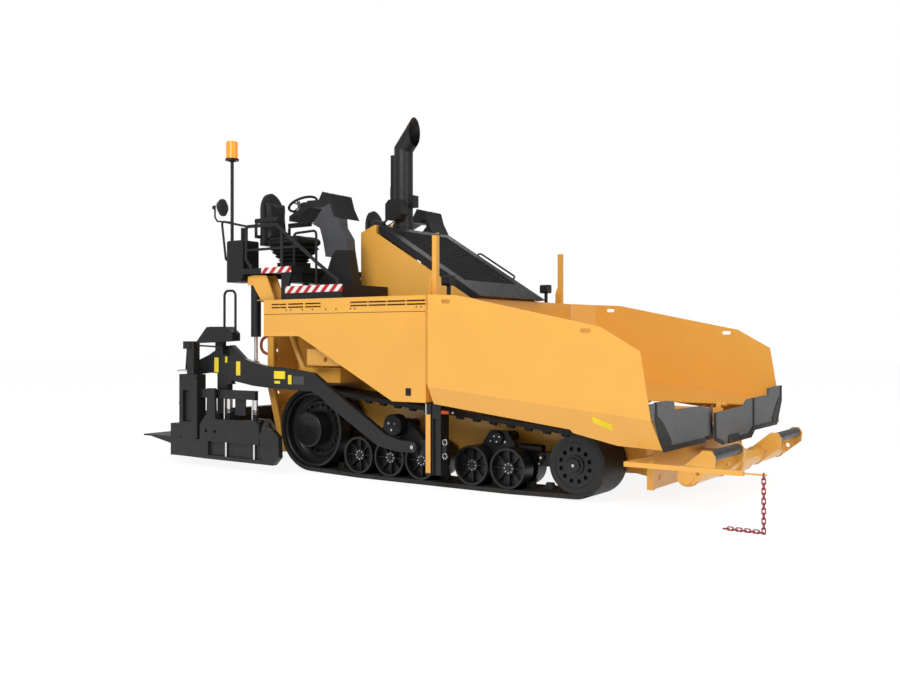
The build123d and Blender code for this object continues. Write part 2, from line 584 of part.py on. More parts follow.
with BuildPart() as hood_cowl:
    side_slab(
        [(HOOD_REAR, DECK_Z), (HOOD_REAR, COWL_REAR_Z), (COWL_TOP_X, HOOD_CREST_Z),
         (COWL_BREAK_X - 30, HOOD_CREST_Z), (COWL_BREAK_X - 30, lid_z(COWL_BREAK_X, COWL_DROP)),
         (COWL_FRONT_X, DECK_Z)],
        -HOOD_HALF, HOOD_HALF,
    )
    rear_corners = hood_cowl.edges().filter_by(Axis.Z).group_by(Axis.X)[0]
    chamfer(rear_corners, length=240, length2=70)
    side_slab(
        [(HOOD_REAR + COWL_WALL, DECK_Z - 1), (HOOD_REAR + COWL_WALL, COWL_REAR_Z - COWL_WALL),
         (COWL_TOP_X - 2, HOOD_CREST_Z - COWL_WALL),
         (COWL_BREAK_X - 36, HOOD_CREST_Z - COWL_WALL), (COWL_BREAK_X - 36, 2600),
         (COWL_BREAK_X - 30, lid_z(COWL_BREAK_X, COWL_DROP - 1)),
         (COWL_FRONT_X + 40, DECK_Z - 1)],
        -(HOOD_HALF - COWL_WALL - 90), HOOD_HALF - COWL_WALL - 90, Mode.SUBTRACT,
    )
    side_slab(
        [(HOOD_REAR + 250, DECK_Z - 1), (HOOD_REAR + 250, 2640),
         (COWL_BREAK_X - 36, 2640), (COWL_BREAK_X - 30, lid_z(COWL_BREAK_X, COWL_DROP - 1)),
         (COWL_FRONT_X + 40, DECK_Z - 1)],
        -(HOOD_HALF - COWL_WALL), HOOD_HALF - COWL_WALL, Mode.SUBTRACT,
    )
    for hinge_y in LID_HINGES:
        rod((HOOD_CREST_X, hinge_y, HOOD_CREST_Z), (HOOD_CREST_X, hinge_y + LID_EYE, HOOD_CREST_Z),
            LID_EYE_R)
        rod((HOOD_CREST_X, hinge_y, HOOD_CREST_Z),
            (HOOD_CREST_X, hinge_y + 2 * LID_EYE + 4, HOOD_CREST_Z), LID_PIN_R)
        block((COWL_TOP_X + 2, HOOD_CREST_X), (hinge_y, hinge_y + LID_EYE),
              (HOOD_CREST_Z - 1, HOOD_CREST_Z + 9))
save("hood_cowl", hood_cowl)

with BuildPart() as hood_lid:
    side_slab(
        [(HOOD_CREST_X, HOOD_CREST_Z), (HOOD_CREST_X, HOOD_CREST_Z - LID_DEPTH),
         (LID_LOW_X, DECK_Z + MOVE_GAP), (LID_FRONT_X - 20, LID_FRONT_Z - 10),
         (LID_FRONT_X, LID_FRONT_Z)],
        -HOOD_HALF, HOOD_HALF,
    )
    side_slab(
        [(HOOD_CREST_X - 1, lid_z(HOOD_CREST_X - 1, LID_EDGE)),
         (HOOD_CREST_X - 1, HOOD_CREST_Z - 200),
         (LID_FRONT_X - 60, lid_z(LID_FRONT_X - 60, 200)),
         (LID_FRONT_X - 40, lid_z(LID_FRONT_X - 40, LID_EDGE))],
        -(HOOD_HALF - LID_EDGE), HOOD_HALF - LID_EDGE, Mode.SUBTRACT,
    )
    block((GRILLE_REAR, GRILLE_FRONT), (-GRILLE_HALF, GRILLE_HALF), (1900, 2900), Mode.SUBTRACT)
    for hinge_y in LID_HINGES:
        block((HOOD_CREST_X - 1, HOOD_CREST_X + LID_EYE_R + MOVE_GAP),
              (hinge_y - 2, hinge_y + LID_EYE + 1), (2600, 2800), Mode.SUBTRACT)
        eye = (hinge_y + LID_EYE + 2, hinge_y + 2 * LID_EYE + 2)
        rod((HOOD_CREST_X, eye[0], HOOD_CREST_Z), (HOOD_CREST_X, eye[1], HOOD_CREST_Z), LID_EYE_R)
        rod((HOOD_CREST_X, eye[0] - 1, HOOD_CREST_Z), (HOOD_CREST_X, eye[1] + 4, HOOD_CREST_Z),
            LID_PIN_R + AXLE_PLAY, Mode.SUBTRACT)
    bent_bar(
        [(-385, HOOD_HALF - 3, lid_z(-385, 30)), (-385, HOOD_HALF + 45, lid_z(-385, -25)),
         (121, HOOD_HALF + 45, lid_z(121, -25)), (121, HOOD_HALF - 3, lid_z(121, 30))],
        32, 11,
    )
save("hood_lid", hood_lid)

GRILLE_BARS = 26
GRILLE_BORDER = 25.0
with BuildPart() as hood_grille:
    rear_x, front_x = GRILLE_REAR - GRILLE_BORDER, GRILLE_FRONT + GRILLE_BORDER
    side_slab(
        [(rear_x, lid_z(rear_x, LID_EDGE + SEAT_GAP)), (rear_x, lid_z(rear_x, LID_EDGE + 9)),
         (front_x, lid_z(front_x, LID_EDGE + 9)), (front_x, lid_z(front_x, LID_EDGE + SEAT_GAP))],
        -GRILLE_HALF - GRILLE_BORDER, GRILLE_HALF + GRILLE_BORDER,
    )
    bar_pitch = (GRILLE_FRONT - GRILLE_REAR - 40) / GRILLE_BARS
    for step in range(GRILLE_BARS):
        gap_x = GRILLE_REAR + 28 + step * bar_pitch
        block((gap_x, gap_x + bar_pitch * 0.5), (-GRILLE_HALF + 20, GRILLE_HALF - 20),
              (1900, 2900), Mode.SUBTRACT)
save("hood_grille", hood_grille)

with BuildPart() as exhaust_stack:
    lean = Vector(STACK_MOUTH_X - STACK_X, 0, STACK_MOUTH_Z - STACK_BEND_Z).normalized()
    with BuildLine() as stack_path:
        Polyline((STACK_X, STACK_Y, 2420), (STACK_X, STACK_Y, STACK_BEND_Z),
                 (STACK_X + lean.X * 600, STACK_Y, STACK_BEND_Z + lean.Z * 600))
    with BuildSketch(Plane(origin=(STACK_X, STACK_Y, 2420))) as stack_section:
        Circle(STACK_R)
        Circle(STACK_R - 5, mode=Mode.SUBTRACT)
    sweep(stack_section.sketch, path=stack_path.line, transition=Transition.RIGHT)
    block((STACK_MOUTH_X, STACK_MOUTH_X + 500), (-300, 400), (3400, 4800), Mode.SUBTRACT)
    side_slab(
        [(2 * HOOD_REAR - COWL_TOP_X, 2 * COWL_REAR_Z - HOOD_CREST_Z + SEAT_GAP),
         (COWL_TOP_X, HOOD_CREST_Z + SEAT_GAP), (0, HOOD_CREST_Z + SEAT_GAP), (0, 2300),
         (2 * HOOD_REAR - COWL_TOP_X, 2300)],
        -300, 400, Mode.SUBTRACT,
    )
    block((STACK_X - STACK_R - 62, STACK_X - STACK_R + 8), (STACK_Y - 30, STACK_Y + 30),
          (3110, 3675))
    side_slab(
        [(STACK_X - 88, 2877), (STACK_X + 92, 2877), (STACK_X + 142, 2935), (STACK_X + 142, 3052),
         (STACK_X + 92, 3110), (STACK_X - 38, 3110), (STACK_X - 88, 3060)],
        STACK_Y - 240, STACK_Y - 100,
    )
    block((STACK_X + STACK_R - 8, STACK_X + STACK_R + 66), (STACK_Y - 40, STACK_Y + 60),
          (3030, 3170))
    rod((STACK_X, STACK_Y, 2800), (STACK_X, STACK_Y, 2850), STACK_R + 14)
    rod((STACK_X, STACK_Y, 2750), (STACK_X, STACK_Y, STACK_BEND_Z - 40), STACK_R - 5,
        Mode.SUBTRACT)
save("exhaust_stack", exhaust_stack)

# Operator's platform ----------------------------------------------------------

# Where a console tower stands on its foot: x, z of the joint's corners
TOWER_SEAT = ((-1174, 2389), (-1113, 2459), (-943, 2450))
SEAT_DROP = SEAT_GAP * 1.5
RISER_OUT, RISER_IN = 1250.0, 700.0
ARCH_Y = 1200.0

with BuildPart() as platform:
    for side in (-1, 1):
        block((STEP_REAR, STEP_FRONT), (side * (HOOD_HALF + 20), side * PLATFORM_HALF),
              (DECK_Z, STEP_TOP))
        block((STEP_REAR + 20, STEP_FRONT - 20),
              (side * (HOOD_HALF + 40), side * (PLATFORM_HALF - 20)),
              (DECK_Z - 1, STEP_TOP - 8), Mode.SUBTRACT)
        side_slab(
            [(-1560, DECK_Z), (-1500, DECK_Z), (-1400, UPPER_BOTTOM + 5), (-1560, UPPER_BOTTOM + 5)],
            side * (PLATFORM_HALF - 40), side * (PLATFORM_HALF - 10),
        )
        side_slab(
            [(-1950, DECK_Z), (-1890, DECK_Z), (-1890, UPPER_BOTTOM + 5), (-1950, UPPER_BOTTOM + 5)],
            side * 700, side * 640,
        )
    block((UPPER_REAR, UPPER_FRONT), (-PLATFORM_HALF, PLATFORM_HALF), (UPPER_BOTTOM, UPPER_TOP))
    block((UPPER_REAR + 10, UPPER_FRONT - 10), (-PLATFORM_HALF + 10, PLATFORM_HALF - 10),
          (UPPER_BOTTOM - 1, UPPER_TOP - 8), Mode.SUBTRACT)
    cabinet_inner = PLATFORM_HALF - CABINET_WIDTH - SEAT_GAP
    for side in (-1, 1):
        block((UPPER_REAR, CABINET_FRONT + 8), (side * (cabinet_inner - 8), side * PLATFORM_HALF),
              (UPPER_BOTTOM, UPPER_TOP))
        block((UPPER_REAR - 1, CABINET_FRONT + SEAT_GAP),
              (side * cabinet_inner, side * (PLATFORM_HALF + 1)),
              (UPPER_BOTTOM - 1, UPPER_TOP + 1), Mode.SUBTRACT)
        block((SEAT_X - 140, SEAT_X + 140), (side * (SEAT_Y - 130), side * (SEAT_Y + 130)),
              (UPPER_TOP - 1, SEAT_BASE_TOP))
        block((-1690, -1430), (side * RISER_OUT, side * RISER_IN), (2105, UPPER_TOP - 1))
        side_slab(
            [(TOWER_SEAT[0][0], TOWER_SEAT[0][1] - SEAT_DROP), (-1223, 2267), (-1348, 2133),
             (-1348, STEP_TOP - 1), (-860, STEP_TOP - 1),
             (TOWER_SEAT[2][0], TOWER_SEAT[2][1] - SEAT_DROP),
             (TOWER_SEAT[1][0], TOWER_SEAT[1][1] - SEAT_DROP)],
            side * CONSOLE_OUT, side * (CONSOLE_OUT - PEDESTAL),
        )
        bent_bar(
            [(-1262, side * ARCH_Y, STEP_TOP - 1), (-1262, side * ARCH_Y, 2672),
             (-1600, side * ARCH_Y, 2660), (-1600, side * ARCH_Y, UPPER_TOP - 1)],
            45, 14,
        )
save("platform", platform)

with BuildPart() as hazard_boards:
    block((STEP_REAR, STEP_FRONT), (-PLATFORM_HALF - 6, -PLATFORM_HALF), (1976, STEP_TOP))
    block((-1854, UPPER_FRONT), (-PLATFORM_HALF - 6, -PLATFORM_HALF),
          (UPPER_BOTTOM, UPPER_TOP))
    mirror(about=Plane.XZ)
save("hazard_boards", hazard_boards)

with BuildPart() as rear_cabinets:
    block((CABINET_REAR, CABINET_FRONT), (-PLATFORM_HALF, -PLATFORM_HALF + CABINET_WIDTH),
          (CABINET_BOTTOM, CABINET_TOP))
    cross_edges = rear_cabinets.edges().filter_by(Axis.Y).sort_by(Axis.Z)
    low_front = cross_edges[:2].sort_by(Axis.X)[-1:]
    fillet(low_front, 100)
    fillet(rear_cabinets.edges().filter_by(Axis.Y).sort_by(Axis.Z)[-2:], 25)
    block((-2275, -2235), (-PLATFORM_HALF + 80, -PLATFORM_HALF + 120), (CABINET_TOP - 1, 2749))
    mirror(about=Plane.XZ)
save("rear_cabinets", rear_cabinets)

FOLDS = 4
FOLD_HEIGHT = (CUSHION_BOTTOM - SEAT_BASE_TOP - 2 * SEAT_GAP) / FOLDS
with BuildPart() as seat_bellows:
    for fold in range(FOLDS):
        foot = SEAT_BASE_TOP + SEAT_GAP + fold * FOLD_HEIGHT
        spread = 105 + fold * 27
        rings = []
        for level, grow in ((0, 0), (FOLD_HEIGHT / 2, 26), (FOLD_HEIGHT, 14)):
            with BuildSketch(Plane.XY.offset(foot + level)) as ring:
                with Locations((SEAT_X, -SEAT_Y)):
                    RectangleRounded(2 * (spread + grow) + 20, 2 * (spread + grow), 40)
            rings.append(ring.sketch)
        loft(rings, ruled=True)
    mirror(about=Plane.XZ)
save("seat_bellows", seat_bellows)

with BuildPart() as seat_cushions:
    with BuildSketch(Plane.XY.offset(CUSHION_BOTTOM)) as cushion_plan:
        with Locations((SEAT_X, -SEAT_Y)):
            RectangleRounded(CUSHION_LENGTH, CUSHION_WIDTH, 70)
    extrude(cushion_plan.sketch, amount=110)
    fillet(seat_cushions.faces().sort_by(Axis.Z)[-1].edges(), 35)
    mirror(about=Plane.XZ)
save("seat_cushions", seat_cushions)

CUSHION_REAR = SEAT_X - CUSHION_LENGTH / 2
BACK_THICK = 90.0
BACK_FOOT_X = CUSHION_REAR - BACK_THICK / 2 - 6
with BuildPart() as seat_backs:
    # Height, shift to the rear, width and thickness of the back's sections
    sections = []
    for level, shift, width, thick in (
        (2560, 0, 400, BACK_THICK), (2900, 14, 400, 80), (3120, 40, 370, 66), (3190, 50, 300, 50),
    ):
        with BuildSketch(Plane.XY.offset(level)) as back_section:
            with Locations((BACK_FOOT_X - shift, -SEAT_Y)):
                RectangleRounded(thick, width, thick * 0.4)
        sections.append(back_section.sketch)
    for lower, upper in zip(sections, sections[1:]):
        loft([lower, upper], ruled=True)
    block((BACK_FOOT_X, CUSHION_REAR - SEAT_GAP), (-SEAT_Y - 150, -SEAT_Y + 150), (2560, 2630))
    for side in (-1, 1):
        arm_y = -SEAT_Y + side * 270
        block((BACK_FOOT_X - 20, -1830), (arm_y - 30, arm_y + 30), (2800, 2866))
        side_slab(
            [(BACK_FOOT_X - 25, 2640), (BACK_FOOT_X + 35, 2640), (BACK_FOOT_X + 60, 2801),
             (BACK_FOOT_X - 20, 2801)],
            arm_y - 12, arm_y + 12,
        )
        rod((BACK_FOOT_X, -SEAT_Y + side * 150, 2700), (BACK_FOOT_X, arm_y, 2700), 22)
    mirror(about=Plane.XZ)
save("seat_backs", seat_backs)

with BuildPart() as console_towers:
    side_slab(
        [(-1348, 2718), (-1298, 2566), (-1261, 2393), *TOWER_SEAT, (-955, 2573), (-1052, 2707),
         (-1064, 2808), (-1137, 2832), (-1199, 2984), (-1298, 2946), (-1449, 2780), (-1487, 2783)],
        -CONSOLE_OUT, -(CONSOLE_OUT - PEDESTAL),
    )
    mirror(about=Plane.XZ)
save("console_towers", console_towers)

# Sloping panel under the wheel: lower and upper corner of its face
PANEL_EDGE = (-1824.0, -(CONSOLE_OUT + CONSOLE_IN) / 2, 2883.0)
PANEL_CREST = (-1602.0, -(CONSOLE_OUT + CONSOLE_IN) / 2, 2989.0)
STEER_ALONG, STEER_STANDOFF = 112.0, 118.0
STEER_RING_R, STEER_GRIP_R = 168.0, 12.0

with BuildPart() as console_panels:
    side_slab(
        [(-1824, 2826), (PANEL_EDGE[0], PANEL_EDGE[2]), (PANEL_CREST[0], PANEL_CREST[2]),
         (-1538, 3040), (-1367, 3035), (-1311, 3123), (-1183, 3088), (-1138, 2944),
         (-1063.7, 2808 + SEAT_DROP), (-1136.7, 2832 + SEAT_DROP), (-1198.7, 2984 + SEAT_DROP),
         (-1297.7, 2946 + SEAT_DROP), (-1500, 2962)],
        -CONSOLE_OUT, -CONSOLE_IN,
    )
    mirror(about=Plane.XZ)
save("console_panels", console_panels)

with BuildPart() as steering_wheels:
    panel_rise = (Vector(*PANEL_CREST) - Vector(*PANEL_EDGE)).normalized()
    panel_normal = Vector(-panel_rise.Z, 0, panel_rise.X)
    wheel_foot = Vector(*PANEL_EDGE) + panel_rise * STEER_ALONG
    hub = wheel_foot + panel_normal * STEER_STANDOFF
    with Locations(Plane(origin=hub, x_dir=(0, 1, 0), z_dir=panel_normal)):
        Torus(STEER_RING_R, STEER_GRIP_R)
    for spoke in (panel_rise * -1, Vector(0, 1, 0), Vector(0, -1, 0)):
        rod(tuple(hub - panel_normal * 14), tuple(hub + spoke * STEER_RING_R), 8)
    rod(tuple(hub - panel_normal * 30), tuple(hub + panel_normal * 4), 42)
    rod(tuple(wheel_foot + panel_normal * SEAT_GAP), tuple(hub), 26)
    mirror(about=Plane.XZ)
save("steering_wheels", steering_wheels)

RAIL_Y = PLATFORM_HALF - 20
POST_X = -2122.0
with BuildPart() as handrails:
    bent_bar(
        [(-2050, -RAIL_Y, UPPER_TOP), (-2050, -RAIL_Y, 2300), (POST_X, -RAIL_Y, 2372),
         (POST_X, -RAIL_Y, 2748), (-1649, -RAIL_Y, 2741), (-1040, -RAIL_Y, 2295),
         (-745, -RAIL_Y, 2100), (-745, -RAIL_Y, STEP_TOP)],
        34, RAIL_R,
    )
    rod((POST_X, -RAIL_Y, 2479), (-1295, -RAIL_Y, 2479), RAIL_R - 4)
    rod((-1560, -RAIL_Y, UPPER_TOP), (-1560, -RAIL_Y, 2680), RAIL_R)
    bent_bar(
        [(CABINET_REAR - SEAT_GAP, -RAIL_Y, 2385), (-2458, -RAIL_Y, 2385),
         (-2528, -RAIL_Y, 2838), (POST_X, -RAIL_Y, 2752)],
        28, 13,
    )
    mirror(about=Plane.XZ)
save("handrails", handrails)

MIRROR_ARM_X, MIRROR_TOP = -2690.0, 3015.0
with BuildPart() as beacon_mast:
    rod((MAST_X, MAST_Y, CABINET_TOP + SEAT_GAP), (MAST_X, MAST_Y, MAST_TOP - 17), RAIL_R)
    rod((MAST_X, MAST_Y, MAST_TOP - 17), (MAST_X, MAST_Y, MAST_TOP), 78)
    bent_bar(
        [(MAST_X, MAST_Y, 2821), (-2650, MAST_Y, 2850), (MIRROR_ARM_X, MAST_Y, 2900),
         (MIRROR_ARM_X, MAST_Y, MIRROR_TOP)],
        30, 10,
    )
    rod((MIRROR_ARM_X - 22, MAST_Y, MIRROR_TOP), (MIRROR_ARM_X + 22, MAST_Y, MIRROR_TOP), 25)
    rod((MIRROR_ARM_X, MAST_Y, MIRROR_TOP), (MIRROR_ARM_X + 138, MAST_Y, 3003), 9)
    rod((MIRROR_ARM_X + 122, MAST_Y - 5, 3003), (MIRROR_ARM_X + 146, MAST_Y + 4, 3003), 100)
save("beacon_mast", beacon_mast)

with BuildPart() as beacon:
    rod((MAST_X, MAST_Y, MAST_TOP + SEAT_GAP), (MAST_X, MAST_Y, 3750), 68)
    fillet(beacon.edges().sort_by(Axis.Z)[-1:], 12)
save("beacon", beacon)

with BuildPart() as hopper_posts:
    block((400, 452), (-1314, -1262), (DECK_Z, 2503))
    cross_slab([(-1355, DECK_Z), (-1221, DECK_Z), (-1221, 2020), (-1262, 2090), (-1314, 2090),
                (-1355, 2020)], 392, 400)
    mirror(about=Plane.XZ)
save("hopper_posts", hopper_posts)

with BuildPart() as work_lamps:
    block((330, 430), (-1060, -950), (2020, 2120))
    fillet(work_lamps.edges().filter_by(Axis.X), 22)
    block((370, 400), (-1020, -990), (DECK_Z, 2021))
    mirror(about=Plane.XZ)
save("work_lamps", work_lamps)

# Hopper wings ------------------------------------------------------------------

# Side view of the wing's wall: x, z
WING_TOP = ((WING_REAR, DECK_Z), (992.5, 1879.0), (2442.5, 1581.0), (2802.5, 1376.0))
WING_FOOT = (
    (WING_FRONT + 30, 569.0), (2536.5, 581.0), (2130.5, 668.0), (2107.5, 698.0),
    (627.5, 868.0), (WING_REAR, 884.0),
)
BEND_SLOPE = (BEND_REAR_Z - BEND_FRONT_Z) / (WING_FRONT - WING_REAR)
SKIRT_DROP = 300.0
WING_EDGE = HINGE_EYE_R + MOVE_GAP


def wing_section(x, half, bend_z):
    """Draw one cross-section of a wing's outer wall, floor and skirt at x."""
    inner = half - SHEET
    with BuildSketch(Plane.YZ.offset(x)) as section:
        Polygon(
            (-half, 1950), (-half, bend_z), (-half + SKIRT_INSET * 1.2, bend_z - SKIRT_DROP * 1.2),
            (-inner + SKIRT_INSET * 1.2, bend_z - SKIRT_DROP * 1.2), (-inner, bend_z - 12),
            (-HINGE_Y - WING_EDGE, HINGE_Z - 2), (-HINGE_Y - WING_EDGE, HINGE_Z + 10),
            (-inner, bend_z),
            (-inner, 1950), align=None,
        )
    return section.sketch


with BuildPart() as right_wing:
    rear = wing_section(WING_REAR, BODY_HALF, BEND_REAR_Z)
    crease_z = BEND_REAR_Z - BEND_SLOPE * (WING_CREASE_X - WING_REAR)
    crease = wing_section(WING_CREASE_X, HALF_WIDTH, crease_z)
    front = wing_section(WING_FRONT + 30, HALF_WIDTH, BEND_FRONT_Z)
    loft([rear, crease], ruled=True)
    loft([crease, front], ruled=True)
    silhouette = [(WING_REAR - 1, DECK_Z)] + list(WING_TOP[1:]) + list(WING_FOOT)
    side_slab(silhouette + [(WING_REAR - 1, 884.0)], -HALF_WIDTH - 1, -600, Mode.INTERSECT)
    for station in HINGE_STATIONS:
        eye = (station + HINGE_LUG + 2, station + 2 * HINGE_LUG + 2)
        rod((eye[0], -HINGE_Y, HINGE_Z), (eye[1], -HINGE_Y, HINGE_Z), HINGE_EYE_R)
        block(eye, (-HINGE_Y - 70, -HINGE_Y), (HINGE_Z - 18, HINGE_Z + 10))
        rod((eye[0] - 1, -HINGE_Y, HINGE_Z), (eye[1] + 1, -HINGE_Y, HINGE_Z),
            HINGE_PIN_R + AXLE_PLAY, Mode.SUBTRACT)
    for slot_x, slot_z in ((872.5, 1824.0), (2312.5, 1547.0)):
        with BuildSketch(Plane.XZ.offset(HALF_WIDTH - 20)) as slot:
            with Locations((slot_x, slot_z)):
                SlotOverall(100, 38)
        extrude(slot.sketch, amount=40, mode=Mode.SUBTRACT)
save("right_wing", right_wing)

with BuildPart() as left_wing:
    mirror(right_wing.part, about=Plane.XZ)
save("left_wing", left_wing)

# Front flaps: the right one bends back behind the middle lip
FLAP_Y = -(HALF_WIDTH - SHEET - 3)
EAR_Y = -(HALF_WIDTH - SHEET - SEAT_GAP)
FLAP_EAR = (
    (2770, 850), (2770, 930), (FLAP_FACE_X - 4, 960), (FLAP_FACE_X - 4, 830), (2840, 830),
)
with BuildPart() as right_flap:
    cross_slab(
        [(FLAP_Y, 967), (FLAP_Y, 800), (-1572, 560), (-1560, 548), (-600, 548), (-600, 878),
         (-1310, 886), (-1335, 957), (-1500, 967)],
        FLAP_FACE_X - FLAP_THICK, FLAP_FACE_X,
    )
    with BuildSketch(Plane.XY.offset(600)) as bent_back:
        Polygon(
            (FLAP_FACE_X - FLAP_THICK, -605), (FLAP_FACE_X, -605), (FLAP_FACE_X, -598),
            (2890, -330), (2805, -75), (2795, -79), (2880, -334),
            (FLAP_FACE_X - FLAP_THICK, -600), align=None,
        )
    extrude(bent_back.sketch, amount=250)
    side_slab(FLAP_EAR, EAR_Y, EAR_Y + 12)
save("right_flap", right_flap)

with BuildPart() as left_flap:
    cross_slab(
        [(-FLAP_Y, 967), (-FLAP_Y, 800), (1572, 560), (1560, 548), (704, 548), (704, 878),
         (1310, 886), (1335, 957), (1500, 967)],
        FLAP_FACE_X - FLAP_THICK, FLAP_FACE_X,
    )
    side_slab(FLAP_EAR, -EAR_Y - 12, -EAR_Y)
save("left_flap", left_flap)

with BuildPart() as front_lip:
    cross_slab(
        [(-420, 801), (-405, 548), (-170, 488), (640, 488), (735, 548), (735, 878), (508, 878),
         (391, 818)],
        LIP_X, LIP_X + FLAP_THICK,
    )
    for arm_y in (60, 600):
        block((2700, LIP_X), (arm_y - 12, arm_y + 12), (FLOOR_Z - 60, FLOOR_Z - SEAT_GAP))
    block((2640 + FRONT_PLATE_THICK, 2712), (48, 612), (FLOOR_Z - 140, FLOOR_Z - SEAT_GAP))
save("front_lip", front_lip)

# Push bar ----------------------------------------------------------------------

with BuildPart() as push_bar:
    rod((PUSH_X, -PUSH_HALF + 20, PUSH_Z), (PUSH_X, PUSH_HALF - 20, PUSH_Z), PUSH_TUBE_R)
    rod((PUSH_X, -150, PUSH_Z), (PUSH_X, 150, PUSH_Z), 108)
    rod((PUSH_X, -PUSH_HALF, PUSH_Z), (PUSH_X, PUSH_HALF, PUSH_Z), PUSH_TUBE_R - 14)
    for collar_y in (-1240, -520, 490, 1210):
        rod((PUSH_X, collar_y, PUSH_Z), (PUSH_X, collar_y + 30, PUSH_Z), PUSH_TUBE_R + 8)
    block((PIVOT_X - 45, PUSH_X - 60), (-60, 60), (291, 389))
    rod((PIVOT_X, 0, 280), (PIVOT_X, 0, 400), PIVOT_R + AXLE_PLAY, Mode.SUBTRACT)
    for side in (-1, 1):
        for inner in (ROLLER_INNER - SEAT_GAP - LUG_PLATE, ROLLER_OUTER + SEAT_GAP):
            side_slab(
                [(PUSH_X - 40, PUSH_Z - 60), (PUSH_X + 60, PUSH_Z - 55),
                 (ROLLER_X + 52, ROLLER_Z - 90), (ROLLER_X + 62, ROLLER_Z),
                 (ROLLER_X + 30, ROLLER_Z + 52), (ROLLER_X - 40, ROLLER_Z + 52),
                 (PUSH_X - 20, PUSH_Z + 90)],
                side * inner, side * (inner + LUG_PLATE),
            )
            rod((PUSH_X + 105, side * (inner - 1), PUSH_Z + 38),
                (PUSH_X + 105, side * (inner + LUG_PLATE + 1), PUSH_Z + 38), 22, Mode.SUBTRACT)
        rod((ROLLER_X, side * (ROLLER_INNER - LUG_PLATE), ROLLER_Z),
            (ROLLER_X, side * (ROLLER_OUTER + LUG_PLATE), ROLLER_Z), 15)
save("push_bar", push_bar)

with BuildPart() as right_push_roller:
    rod((ROLLER_X, -ROLLER_OUTER, ROLLER_Z), (ROLLER_X, -ROLLER_INNER, ROLLER_Z), ROLLER_R)
    rod((ROLLER_X, -ROLLER_OUTER - 1, ROLLER_Z), (ROLLER_X, -ROLLER_INNER + 1, ROLLER_Z),
        15 + AXLE_PLAY, Mode.SUBTRACT)
save("right_push_roller", right_push_roller)

with BuildPart() as left_push_roller:
    mirror(right_push_roller.part, about=Plane.XZ)
save("left_push_roller", left_push_roller)

with BuildPart() as steering_guide:
    block((GUIDE_REAR, GUIDE_TUBE_END), (GUIDE_Y - 20, GUIDE_Y + 20), (GUIDE_Z - 20, GUIDE_Z + 20))
    rod((GUIDE_TUBE_END - 5, GUIDE_Y, GUIDE_Z), (GUIDE_END, GUIDE_Y, GUIDE_Z), GUIDE_ROD_R)
    block((GUIDE_REAR, GUIDE_REAR + 30), (GUIDE_Y, -REAR_WALL_HALF - 30),
          (GUIDE_Z - 20, GUIDE_Z + 20))
save("steering_guide", steering_guide)

# Guide chain: hanging links turned along X and Y in turn, the last ones on the ground
LINK_LENGTH, LINK_WIDTH, LINK_WIRE = 54.0, 34.0, 8.0
CHAIN_X = GUIDE_END - 24.0
HANG_LINKS, GROUND_LINKS = 12, 9
HANG_TOP = GUIDE_Z + GUIDE_ROD_R + SEAT_GAP + LINK_WIRE - LINK_LENGTH / 2
HANG_STEP = (HANG_TOP - LINK_LENGTH / 2) / (HANG_LINKS - 1)
GROUND_STEP = 33.0
GROUND_FLAT_Z = LINK_WIRE * 1.5 + SEAT_GAP


def link_outline(inset):
    """Corner points of a long octagon, so far inside a link's outside."""
    half, side = LINK_LENGTH / 2 - inset, LINK_WIDTH / 2 - inset
    cut = side * 0.55
    run = half - side + cut
    return [(half, cut), (run, side), (-run, side), (-half, cut),
            (-half, -cut), (-run, -side), (run, -side), (half, -cut)]


def link(plane):
    """Add one link, centred on a plane and lying in it."""
    with BuildSketch(plane.offset(-LINK_WIRE / 2)) as ring:
        Polygon(*link_outline(0), align=None)
        Polygon(*link_outline(LINK_WIRE), align=None, mode=Mode.SUBTRACT)
    extrude(ring.sketch, amount=LINK_WIRE)


with BuildPart() as guide_chain:
    for step in range(HANG_LINKS):
        across = (0, 1, 0) if step % 2 else (1, 0, 0)
        centre = (CHAIN_X, GUIDE_Y, HANG_TOP - step * HANG_STEP)
        link(Plane(origin=centre, x_dir=(0, 0, 1), z_dir=across))
    for step in range(GROUND_LINKS):
        link_x = CHAIN_X - (LINK_LENGTH - LINK_WIRE) / 2 - step * GROUND_STEP
        centre = (link_x, GUIDE_Y, LINK_WIDTH / 2 if step % 2 else GROUND_FLAT_Z)
        across = (0, 1, 0) if step % 2 else (0, 0, 1)
        link(Plane(origin=centre, x_dir=(1, 0, 0), z_dir=across))
save("guide_chain", guide_chain)

# Lift cylinders -------------------------------------------------------------------

CHEEK = 18.0
CHEEK_GAP = LIFT_BARREL_R + 7
with BuildPart() as lift_brackets:
    for cheek_y in (-LIFT_Y - CHEEK_GAP - CHEEK, -LIFT_Y + CHEEK_GAP):
        side_slab(
            [(-1695, DECK_Z), (-1830, 2189), (-2028, 2197), (-2120, 2185), (-2128, 2085),
             (-2040, 2085), (-1906, DECK_Z)],
            cheek_y, cheek_y + CHEEK,
        )
    block((LIFT_NOTCH_X + 4, -1760), (-LIFT_Y - CHEEK_GAP - CHEEK, -LIFT_Y + CHEEK_GAP + CHEEK),
          (DECK_Z, DECK_Z + 14))
    rod((LIFT_X, -LIFT_Y - CHEEK_GAP - CHEEK - 6, LIFT_TOP_Z),
        (LIFT_X, -LIFT_Y + CHEEK_GAP + CHEEK + 6, LIFT_TOP_Z), 18)
    mirror(about=Plane.XZ)
save("lift_brackets", lift_brackets)

